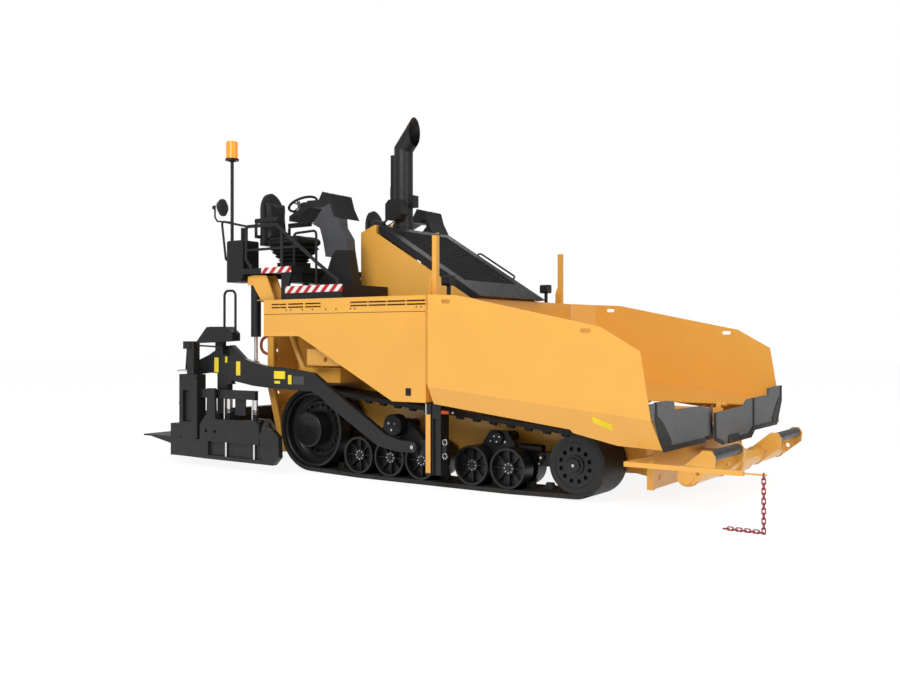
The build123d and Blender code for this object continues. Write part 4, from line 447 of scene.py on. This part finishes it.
for word, side in SIDES:
    nuts = Piece(word + "_bogie_nuts", side)
    for x in BOGIE_X:
        nuts.bolt_circle(x, BOGIE_Z, BOGIE_FACE - BOLT_SINK, BOGIE_FACE + 5, 44, 8, 7)
        nuts.pin(x, BOGIE_Z, BOGIE_FACE - BOLT_SINK, BOGIE_FACE + 7, 13, 24)
    nuts.place("tractor", "silver")
    studs = Piece(word + "_drive_studs", side)
    studs.bolt_circle(DRIVE_X, DRIVE_Z, DRIVE_DISC_FACE - BOLT_SINK, DRIVE_DISC_FACE + 8,
                      DRIVE_DISC_BOLTS, 20, 9)
    studs.bolt_circle(DRIVE_X, DRIVE_Z, DRIVE_HUB_FACE - BOLT_SINK, DRIVE_HUB_FACE + 8,
                      DRIVE_HUB_BOLTS, 12, 10)
    studs.pin(DRIVE_X, DRIVE_Z, DRIVE_HUB_FACE - BOLT_SINK, DRIVE_HUB_FACE + 14, 26, 24)
    studs.place("tractor", "wheel_paint")
    idler = Piece(word + "_idler_studs", side)
    idler.pin(IDLER_X, IDLER_Z, IDLER_FACE - BOLT_SINK, IDLER_FACE + 8, 14, 24)
    idler.bolt_circle(*REAR_PIVOT, REAR_PIVOT_FACE - BOLT_SINK, REAR_PIVOT_FACE + 8,
                      45, 3, 13, 0.5)
    idler.bolt_circle(*FRONT_PIVOT, FRONT_PIVOT_FACE - BOLT_SINK, FRONT_PIVOT_FACE + 6,
                      34, 3, 9, 0.5)
    for x in FRONT_ROW_X:
        idler.pin(x, 470, 1002, 1014, 11, HEX)
    idler.pin(1481, 350, 1000, 1050, 12, HEX)
    idler.pin(1460, 292, 1000, 1046, 9, HEX)
    idler.place("tractor", "silver")

# Side panels: bolt row, the clip that holds the panel shut and the seam above the panel

PANEL_FACE, PANEL_SINK = 1500.0, 2
CLIP_X, CLIP_Z = (213, 281), (917, 993)
SEAM_X, SEAM_Z = (-1762, 456), (1744, 1749)
PANEL_BOLTS_Z = 1790
PANEL_BOLTS = (-1419, -1352, -1181, -1036, -845, -702, -503, -445, 346, 403)
for word, side in SIDES:
    bolts = Piece(word + "_panel_bolts", side)
    for x in PANEL_BOLTS:
        bolts.pin(x, PANEL_BOLTS_Z, PANEL_FACE - PANEL_SINK, PANEL_FACE + 4, 8, 12)
    bolts.box(CLIP_X, (PANEL_FACE - PANEL_SINK, PANEL_FACE + 3), CLIP_Z)
    bolts.pin(sum(CLIP_X) / 2, sum(CLIP_Z) / 2, PANEL_FACE, PANEL_FACE + 9, 17, 16)
    bolts.box(SEAM_X, (PANEL_FACE - PANEL_SINK, PANEL_FACE + 1), SEAM_Z)
    bolts.place("tractor", "black_plastic", 1.0)

# Tow arms: blank plates, the tow pin and its washer, the scale's rod and rings

TOW_PIN_X, TOW_PIN_Z = 258.5, 407
STRIP_X, STRIP_OUT, STRIP_Z = (424, 482), (1450, 1454), (170, 740)
SCALE_X, SCALE_Z = 431, (737, 846)
HOOK_X, HOOKS_Z, HOOK_RADIUS, HOOK_GRIP = 645, (479, 345), 26, 4
ARM_LABELS = (((-1658, -1490), (1039, 1123)), ((-1651, -1566), (986, 1016)),
              ((-1444, -1391), (984, 1084)), ((-2630, -2560), (1090, 1262)),
              ((-2446, -2412), (1205, 1276)), ((-2264, -2196), (1062, 1222)))
arm = Skin("tow_arms")
for word, side in SIDES:
    plates = Piece(word + "_arm_labels", side)
    for x, z in ARM_LABELS:
        label(plates, arm, oblong(x, z))
    plates.place("screed", "plate_yellow")
    grey = Piece(word + "_arm_plate", side)
    label(grey, arm, oblong((-1369, -1206), (984, 1072)))
    grey.place("screed", "grey_plastic")
    fittings = Piece(word + "_tow_fittings", side)
    fittings.pin(TOW_PIN_X, TOW_PIN_Z, 1446, 1464, 20, HEX)
    fittings.pin(TOW_PIN_X, TOW_PIN_Z, 1440, 1454, 32, 32)
    fittings.place("screed", "silver")
    scale = Piece(word + "_tow_scale", side)
    scale.tube([(SCALE_X, STRIP_OUT[1], z) for z in SCALE_Z], 9)
    for z in HOOKS_Z:
        scale.ring((HOOK_X, 1440, z), (0, 1, 0), HOOK_RADIUS, HOOK_GRIP, 32, 8)
    scale.pin(744, 768, 1440, 1450, 11, HEX)
    scale.place("tractor", "silver")
    strip = Piece(word + "_tow_strip", side)
    strip.box(STRIP_X, STRIP_OUT, STRIP_Z)
    strip.place("tractor", "yellow_paint", 1.0)
    tag = Piece(word + "_hanger_tag", side)
    tag.box((604, 690), (1438, 1442), (752, 783))
    tag.place("tractor", "plate_orange", 1.0)

# Wings: blank plates on the lower skirts

REAR_LABEL_X, LABEL_RISE, LABEL_HEIGHT = (640, 790), 10, 50
FRONT_LABEL = ((2360, 772), (2531, 709), (2531, 765), (2360, 828))
for word, side in SIDES:
    skirt = Skin(word + "_wing")
    plates = Piece(word + "_wing_labels", side)
    lower = [(x, skirt.low_edge(x, side) + LABEL_RISE) for x in REAR_LABEL_X]
    upper = [(x, z + LABEL_HEIGHT) for x, z in reversed(lower)]
    label(plates, skirt, lower + upper)
    label(plates, skirt, FRONT_LABEL)
    plates.place(word + "_wing", "plate_yellow")

# Hopper flaps and front lip: black rubber edges on the grey sheets, as (out, z) outlines

FLAP_X, LIP_X, EDGE_SINK, EDGE_THICK = 2925.0, 2942.0, 1.0, 9.0
FLAP_EDGE = ((1739, 967), (1704, 967), (1704, 812), (1546, 590), (600, 590), (600, 548),
             (1560, 548), (1572, 560), (1739, 800))
FLAP_PATCH = ((1704, 858), (1704, 812), (1546, 590), (1405, 590), (1405, 640), (1585, 800))
LIP_EDGES = (
    ((-420, 801), (-405, 548), (-170, 488), (-170, 525), (-372, 574), (-386, 803)),
    ((-60, 488), (300, 488), (250, 566), (-20, 566)),
    ((735, 878), (698, 878), (698, 600), (560, 535), (300, 535), (300, 488), (640, 488), (735, 548)),
)
for word, side in SIDES:
    edge = Piece(word + "_flap_edge", side)
    edge.front_slab(FLAP_EDGE, FLAP_X - EDGE_SINK, FLAP_X + EDGE_THICK)
    edge.front_slab(FLAP_PATCH, FLAP_X - EDGE_SINK, FLAP_X + EDGE_THICK - 2)
    edge.place(word + "_wing", "edge_rubber", 2.0)
lip = Piece("front_lip_edge")
for outline in LIP_EDGES:
    lip.front_slab(outline, LIP_X - EDGE_SINK, LIP_X + EDGE_THICK)
lip.place("tractor", "edge_rubber", 2.0)

# Consoles: the steering wheels' rims and rear spokes, joysticks and buttons

PANEL_EDGE, PANEL_CREST = Vector((-1824, 875, 2883)), Vector((-1602, 875, 2989))
STEER_ALONG, STEER_STANDOFF, STEER_RING, STEER_GRIP = 112, 118, 168, 15
panel_rise = (PANEL_CREST - PANEL_EDGE).normalized()
panel_normal = Vector((-panel_rise.z, 0.0, panel_rise.x))
steer_hub = PANEL_EDGE + panel_rise * STEER_ALONG + panel_normal * STEER_STANDOFF
BUTTON_ROWS, BUTTON_COLUMNS = 4, 3
BUTTON_EDGE, BUTTON_STEP, BUTTON_RADIUS, BUTTON_HEIGHT = 30, 46, 11, 9
BUTTON_FIRST_OUT, BUTTON_OUT_STEP = -150, 34
for word, side in SIDES:
    rim = Piece(word + "_steering_rim", side)
    rim.ring(steer_hub, panel_normal, STEER_RING, STEER_GRIP, 64, 12)
    rim.tube([steer_hub, steer_hub - panel_rise * STEER_RING], 8)
    rim.place("tractor", "black_plastic")
    stick = Piece(word + "_joystick", side)
    stick.tube([(-1700, 1000, 2935), (-1712, 1002, 2990)], 9)
    stick.tube([(-1712, 1002, 2986), (-1720, 1003, 3030), (-1719, 1003, 3052)], 19, 20)
    for i in range(BUTTON_ROWS):
        row = PANEL_EDGE + panel_rise * (BUTTON_EDGE + BUTTON_STEP * i)
        for j in range(BUTTON_COLUMNS):
            base = row + Vector((0, BUTTON_FIRST_OUT + BUTTON_OUT_STEP * j, 0))
            stick.tube([base, base + panel_normal * BUTTON_HEIGHT], BUTTON_RADIUS, 12)
    stick.place("tractor", "grey_plastic", 1.0)

# Beacon's black foot, the ring round its lens and the mirror's glass

MAST_X, MAST_OUT = -2398.0, 1390.0
MIRROR_Z, MIRROR_RADIUS = 3003, 88
foot = Piece("beacon_foot", RIGHT)
foot.tube([(MAST_X, MAST_OUT, 3520), (MAST_X, MAST_OUT, 3531)], 42, 32)
foot.ring((MAST_X, MAST_OUT, 3547), (0, 0, 1), 72, 7, 48, 8)
foot.place("tractor", "black_plastic")
mirror = Piece("mirror_face", RIGHT)
mirror.tube([(-2558, MAST_OUT, MIRROR_Z), (-2580, MAST_OUT, MIRROR_Z)], MIRROR_RADIUS, 40)
mirror.place("tractor", "mirror_glass")

# Screed extensions: coil springs, chrome rods and the end gates' bolts

SPRINGS_X, GATE_OUT = (-2280, -1853), 1540
SPRING_RADIUS, SPRING_FOOT, SPRING_HEIGHT = 31, 566, 128
SPRING_TURNS, SPRING_STEPS = 9, 14
GUIDE_RODS_X, PLATE_RODS_X, PLATE_RODS_OUT = (-2357, -1901), (-2272, -1820), 1591
GATE_BOLTS_X, GATE_BOLTS_Z = (-3040, -2780), (330, 1020)
for word, side in SIDES:
    coils = Piece(word + "_gate_springs", side)
    for x in SPRINGS_X:
        wire = []
        for k in range(SPRING_TURNS * SPRING_STEPS + 1):
            turn = 2 * math.pi * k / SPRING_STEPS
            rise = SPRING_HEIGHT * k / (SPRING_TURNS * SPRING_STEPS)
            wire.append((x + SPRING_RADIUS * math.cos(turn),
                         GATE_OUT + SPRING_RADIUS * math.sin(turn), SPRING_FOOT + rise))
        coils.tube(wire, 5, 8)
    coils.place(word + "_extension", "charcoal_paint")
    rods = Piece(word + "_gate_rods", side)
    for x in SPRINGS_X:
        rods.tube([(x, GATE_OUT, 640), (x, GATE_OUT, 798)], 25.5, 24)
    for x in GUIDE_RODS_X:
        rods.tube([(x, GATE_OUT, SPRING_FOOT), (x, GATE_OUT, 799)], 9.5, 16)
    for x in PLATE_RODS_X:
        rods.tube([(x, PLATE_RODS_OUT, 150), (x, PLATE_RODS_OUT, 331)], 13, 16)
    rods.tube([(-3150, GATE_OUT, 1100.4), (-2906, GATE_OUT, 1115.6)], 13, 16)
    rods.place(word + "_extension", "chrome")
    heads = Piece(word + "_gate_bolts", side)
    for x in GATE_BOLTS_X:
        for z in GATE_BOLTS_Z:
            heads.pin(x, z, 1600, 1612, 12, HEX)
    heads.place(word + "_extension", "charcoal_paint")

# Hose behind the right side, in metres

hose_route = ((-2.0473, -1.11, 1.51), (-2.2153, -1.11, 1.51), (-2.2153, -1.11, 1.30),
              (-2.0473, -1.11, 1.30))
HOSE_DIAMETER = 0.034
hose_line = bpy.data.curves.new("rear_hose_line", "CURVE")
hose_line.dimensions = "3D"
hose_line.bevel_depth = HOSE_DIAMETER / 2
hose_line.bevel_resolution = 6
hose_line.resolution_u = 24
hose_line.use_fill_caps = True
route = hose_line.splines.new("NURBS")
route.points.add(len(hose_route) - 1)
for point, place in zip(route.points, hose_route):
    point.co = (*place, 1.0)
route.order_u = 3
route.use_endpoint_u = True
hose_line.materials.append(MAT["guide_orange"])
hose = bpy.data.objects.new("rear_hose_loop", hose_line)
scene.collection.objects.link(hose)
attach(hose, "tractor")
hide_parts("rear_hose")

# Seats: stuffed cushions and back pads, moulded backs, arm rests and piping

SEAT_OUT = 945.0
PAD_VOXEL, PAD_PRESSURE, PAD_STEPS, PAD_CAP = 0.009, 4.0, 20, 0.022
SHELL_FOOT, SHELL_CROWN, SHELL_ROUND_FROM = 2562.0, 3188.0, 2960.0
SHELL_HALF, SHELL_NARROWING = 200, 26
SHELL_THICK, SHELL_THINNING = 44, 16
SHELL_FOOT_X, SHELL_LEAN = -2181, 47
SHELL_FRONT_POWER, SHELL_SIDE_POWER = 0.6, 0.45
SHELL_RINGS, SHELL_POINTS = 24, 32
REST_OUT = 270


def modified(thing):
    """The object's mesh with its modifiers worked in."""
    graph = bpy.context.evaluated_depsgraph_get()
    graph.update()
    return bpy.data.meshes.new_from_object(thing.evaluated_get(graph), depsgraph=graph)


def swap_mesh(thing, data):
    """Put data in place of the object's mesh and modifiers."""
    thing.modifiers.clear()
    thing.data = data


def stuffed(name, side, centre, size, lean=0.0, rounding=34.0):
    """A padded block: rounded, remeshed and blown up by a short cloth simulation."""
    form = bmesh.new()
    bmesh.ops.create_cube(form, size=1.0)
    bmesh.ops.scale(form, vec=Vector(size) * MM, verts=form.verts)
    bmesh.ops.bevel(form, geom=form.edges[:], offset=rounding * MM, segments=4, affect="EDGES",
                    profile=0.5)
    bmesh.ops.rotate(form, cent=(0, 0, 0), matrix=Matrix.Rotation(lean, 3, "Y"), verts=form.verts)
    place = Vector((centre[0], side * centre[1], centre[2])) * MM
    bmesh.ops.translate(form, vec=place, verts=form.verts)
    data = bpy.data.meshes.new(name)
    form.to_mesh(data)
    form.free()
    thing = bpy.data.objects.new(name, data)
    scene.collection.objects.link(thing)
    remesh = thing.modifiers.new("voxels", "REMESH")
    remesh.mode = "VOXEL"
    remesh.voxel_size = PAD_VOXEL
    swap_mesh(thing, modified(thing))
    rest = [v.co.copy() for v in thing.data.vertices]
    cloth = thing.modifiers.new("stuffing", "CLOTH")
    cloth.settings.use_pressure = True
    cloth.settings.uniform_pressure_force = PAD_PRESSURE
    cloth.settings.effector_weights.gravity = 0.0
    for step in range(1, PAD_STEPS + 1):
        scene.frame_set(step)
    swap_mesh(thing, modified(thing))
    scene.frame_set(1)
    for vertex, start in zip(thing.data.vertices, rest):
        moved = vertex.co - start
        if moved.length > PAD_CAP:
            vertex.co = start + moved * (PAD_CAP / moved.length)
    smooth = thing.modifiers.new("smooth", "SUBSURF")
    smooth.levels = smooth.render_levels = 1
    swap_mesh(thing, modified(thing))
    thing.data.materials.clear()
    thing.data.materials.append(MAT["seat_cover"])
    thing.data.shade_smooth()
    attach(thing, "tractor")
    return thing


def signed_power(value, power):
    return math.copysign(abs(value) ** power, value)


def seat_shell(word, side):
    """The moulded back: a slab that leans back, narrows and ends in a round crown."""
    shell = Piece(word + "_seat_shell", side)
    rings = []
    for i in range(SHELL_RINGS + 1):
        z = SHELL_FOOT + (SHELL_CROWN - SHELL_FOOT) * i / SHELL_RINGS
        share = (z - SHELL_FOOT) / (SHELL_CROWN - SHELL_FOOT)
        rise = max(0.0, (z - SHELL_ROUND_FROM) / (SHELL_CROWN + 1 - SHELL_ROUND_FROM))
        half = (SHELL_HALF - SHELL_NARROWING * share) * math.sqrt(1 - rise * rise) + 2
        thick = SHELL_THICK - SHELL_THINNING * share
        middle = SHELL_FOOT_X - SHELL_LEAN * share ** 2
        ring = []
        for turn in circle(SHELL_POINTS):
            along = signed_power(math.cos(turn), SHELL_FRONT_POWER)
            across = signed_power(math.sin(turn), SHELL_SIDE_POWER)
            ring.append((middle + thick * along, SEAT_OUT + half * across, z))
        rings.append(ring)
    shell.loft(rings)
    return shell.place("tractor", "seat_cover")


cushions, shells = [], []
for word, side in SIDES:
    cushions.append(stuffed(word + "_seat_cushion", side, (-1846, SEAT_OUT, 2594),
                            (520, 446, 72)))
    shells.append(seat_shell(word, side))
    stuffed(word + "_seat_back", side, (-2146, SEAT_OUT, 2850), (54, 330, 470), -0.06, 22.0)
    rests = Piece(word + "_arm_rests", side)
    for out in (SEAT_OUT - REST_OUT, SEAT_OUT + REST_OUT):
        rests.box((-2195, -1836), (out - 25, out + 25), (2806, 2862))
        rests.box((-2210, -2170), (out - 12, out + 12), (2640, 2810))
    rests.box((-2205, -2175), (SEAT_OUT - REST_OUT - 10, SEAT_OUT + REST_OUT + 10), (2640, 2680))
    rests.place("tractor", "seat_cover", 12.0)
    piping = Piece(word + "_seat_piping", side)
    loop = ((-2090, 735), (-1640, 735), (-1604, 770), (-1596, 945), (-1604, 1120),
            (-1640, 1155), (-2090, 1155))
    piping.tube([(x, out, 2612) for x, out in loop], 4, 8)
    piping.place("tractor", "black_plastic")
for cushion, shell in zip(cushions, shells):
    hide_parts("seat_cushions")
    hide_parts("seat_backs")

# Hood: fine black mesh under the grille's bars

GRILLE_REAR, GRILLE_FRONT = (-725, 2660), (258, 2060)
GRILLE_HALF, GRILLE_DEPTH = 525, 7
mesh = Piece("grille_mesh")
mesh.slab((GRILLE_REAR, GRILLE_FRONT, (GRILLE_FRONT[0], GRILLE_FRONT[1] - GRILLE_DEPTH),
           (GRILLE_REAR[0], GRILLE_REAR[1] - GRILLE_DEPTH)), -GRILLE_HALF, GRILLE_HALF)
mesh.place("hood_lid", "mesh_black")

# Exhaust: handle on the heat shield

handle = Piece("stack_handle")
handle.tube([(-1174, 30, 3302), (-1198, 30, 3300), (-1200, 30, 3230), (-1198, 30, 3158),
             (-1174, 30, 3156)], 6, 10)
handle.place("tractor", "charcoal_paint")

# Stage ------------------------------------------------------------------------

FLOOR_HALF = 60.0
FLOOR_WHITE, FLOOR_SHADE, FLOOR_GLOW = 0.97, 0.80, 1.12
WORLD_LIGHT = 0.50


def flat_material(name, white, shade, bright):
    """A floor that looks near white to the camera and keeps the object's shadow."""
    material = bpy.data.materials.new(name)
    material.use_nodes = True
    tree = material.node_tree
    tree.nodes.clear()
    out = tree.nodes.new("ShaderNodeOutputMaterial")
    diffuse = tree.nodes.new("ShaderNodeBsdfDiffuse")
    diffuse.inputs["Color"].default_value = (white, white, white, 1.0)
    glow = tree.nodes.new("ShaderNodeEmission")
    glow.inputs["Color"].default_value = (1.0, 1.0, 1.0, 1.0)
    glow.inputs["Strength"].default_value = bright
    path = tree.nodes.new("ShaderNodeLightPath")
    rays = tree.nodes.new("ShaderNodeMath")
    rays.operation = "MAXIMUM"
    tree.links.new(path.outputs["Is Camera Ray"], rays.inputs[0])
    tree.links.new(path.outputs["Is Glossy Ray"], rays.inputs[1])
    share = tree.nodes.new("ShaderNodeMath")
    share.operation = "MULTIPLY"
    share.inputs[1].default_value = shade
    tree.links.new(rays.outputs[0], share.inputs[0])
    mix = tree.nodes.new("ShaderNodeMixShader")
    tree.links.new(share.outputs[0], mix.inputs["Fac"])
    tree.links.new(diffuse.outputs[0], mix.inputs[1])
    tree.links.new(glow.outputs[0], mix.inputs[2])
    tree.links.new(mix.outputs[0], out.inputs["Surface"])
    return material


floor_mesh = bpy.data.meshes.new("floor")
floor_mesh.from_pydata(
    [(-FLOOR_HALF, -FLOOR_HALF, 0), (FLOOR_HALF, -FLOOR_HALF, 0),
     (FLOOR_HALF, FLOOR_HALF, 0), (-FLOOR_HALF, FLOOR_HALF, 0)], [], [(0, 1, 2, 3)])
floor = bpy.data.objects.new("floor", floor_mesh)
floor.data.materials.append(flat_material("floor_white", FLOOR_WHITE, FLOOR_SHADE, FLOOR_GLOW))
scene.collection.objects.link(floor)

world = bpy.data.worlds.new("world")
world.use_nodes = True
scene.world = world
background = world.node_tree.nodes["Background"]
path = world.node_tree.nodes.new("ShaderNodeLightPath")
rays = world.node_tree.nodes.new("ShaderNodeMath")
rays.operation = "MAXIMUM"
world.node_tree.links.new(path.outputs["Is Camera Ray"], rays.inputs[0])
world.node_tree.links.new(path.outputs["Is Transmission Ray"], rays.inputs[1])
strength = world.node_tree.nodes.new("ShaderNodeMapRange")
strength.inputs["To Min"].default_value = WORLD_LIGHT
strength.inputs["To Max"].default_value = 1.0
world.node_tree.links.new(rays.outputs[0], strength.inputs["Value"])
world.node_tree.links.new(strength.outputs["Result"], background.inputs["Strength"])
background.inputs["Color"].default_value = (1.0, 1.0, 1.0, 1.0)


def area_light(name, place, target, size, power):
    """A rectangular lamp aimed at target, in metres and watts."""
    data = bpy.data.lights.new(name, "AREA")
    data.shape = "RECTANGLE"
    data.size, data.size_y = size
    data.energy = power
    light = bpy.data.objects.new(name, data)
    light.location = place
    aim = Vector(target) - Vector(place)
    light.rotation_euler = aim.to_track_quat("-Z", "Y").to_euler()
    scene.collection.objects.link(light)


area_light("key", (1.5, -11.0, 7.5), (0.3, 0.0, 1.0), (9.0, 5.0), 740.0)
area_light("front", (13.0, -3.0, 6.0), (1.0, 0.0, 1.0), (6.0, 5.0), 340.0)
area_light("back", (-8.0, 9.0, 7.0), (0.0, 0.0, 1.0), (7.0, 4.0), 290.0)

scene.view_settings.view_transform = "Standard"
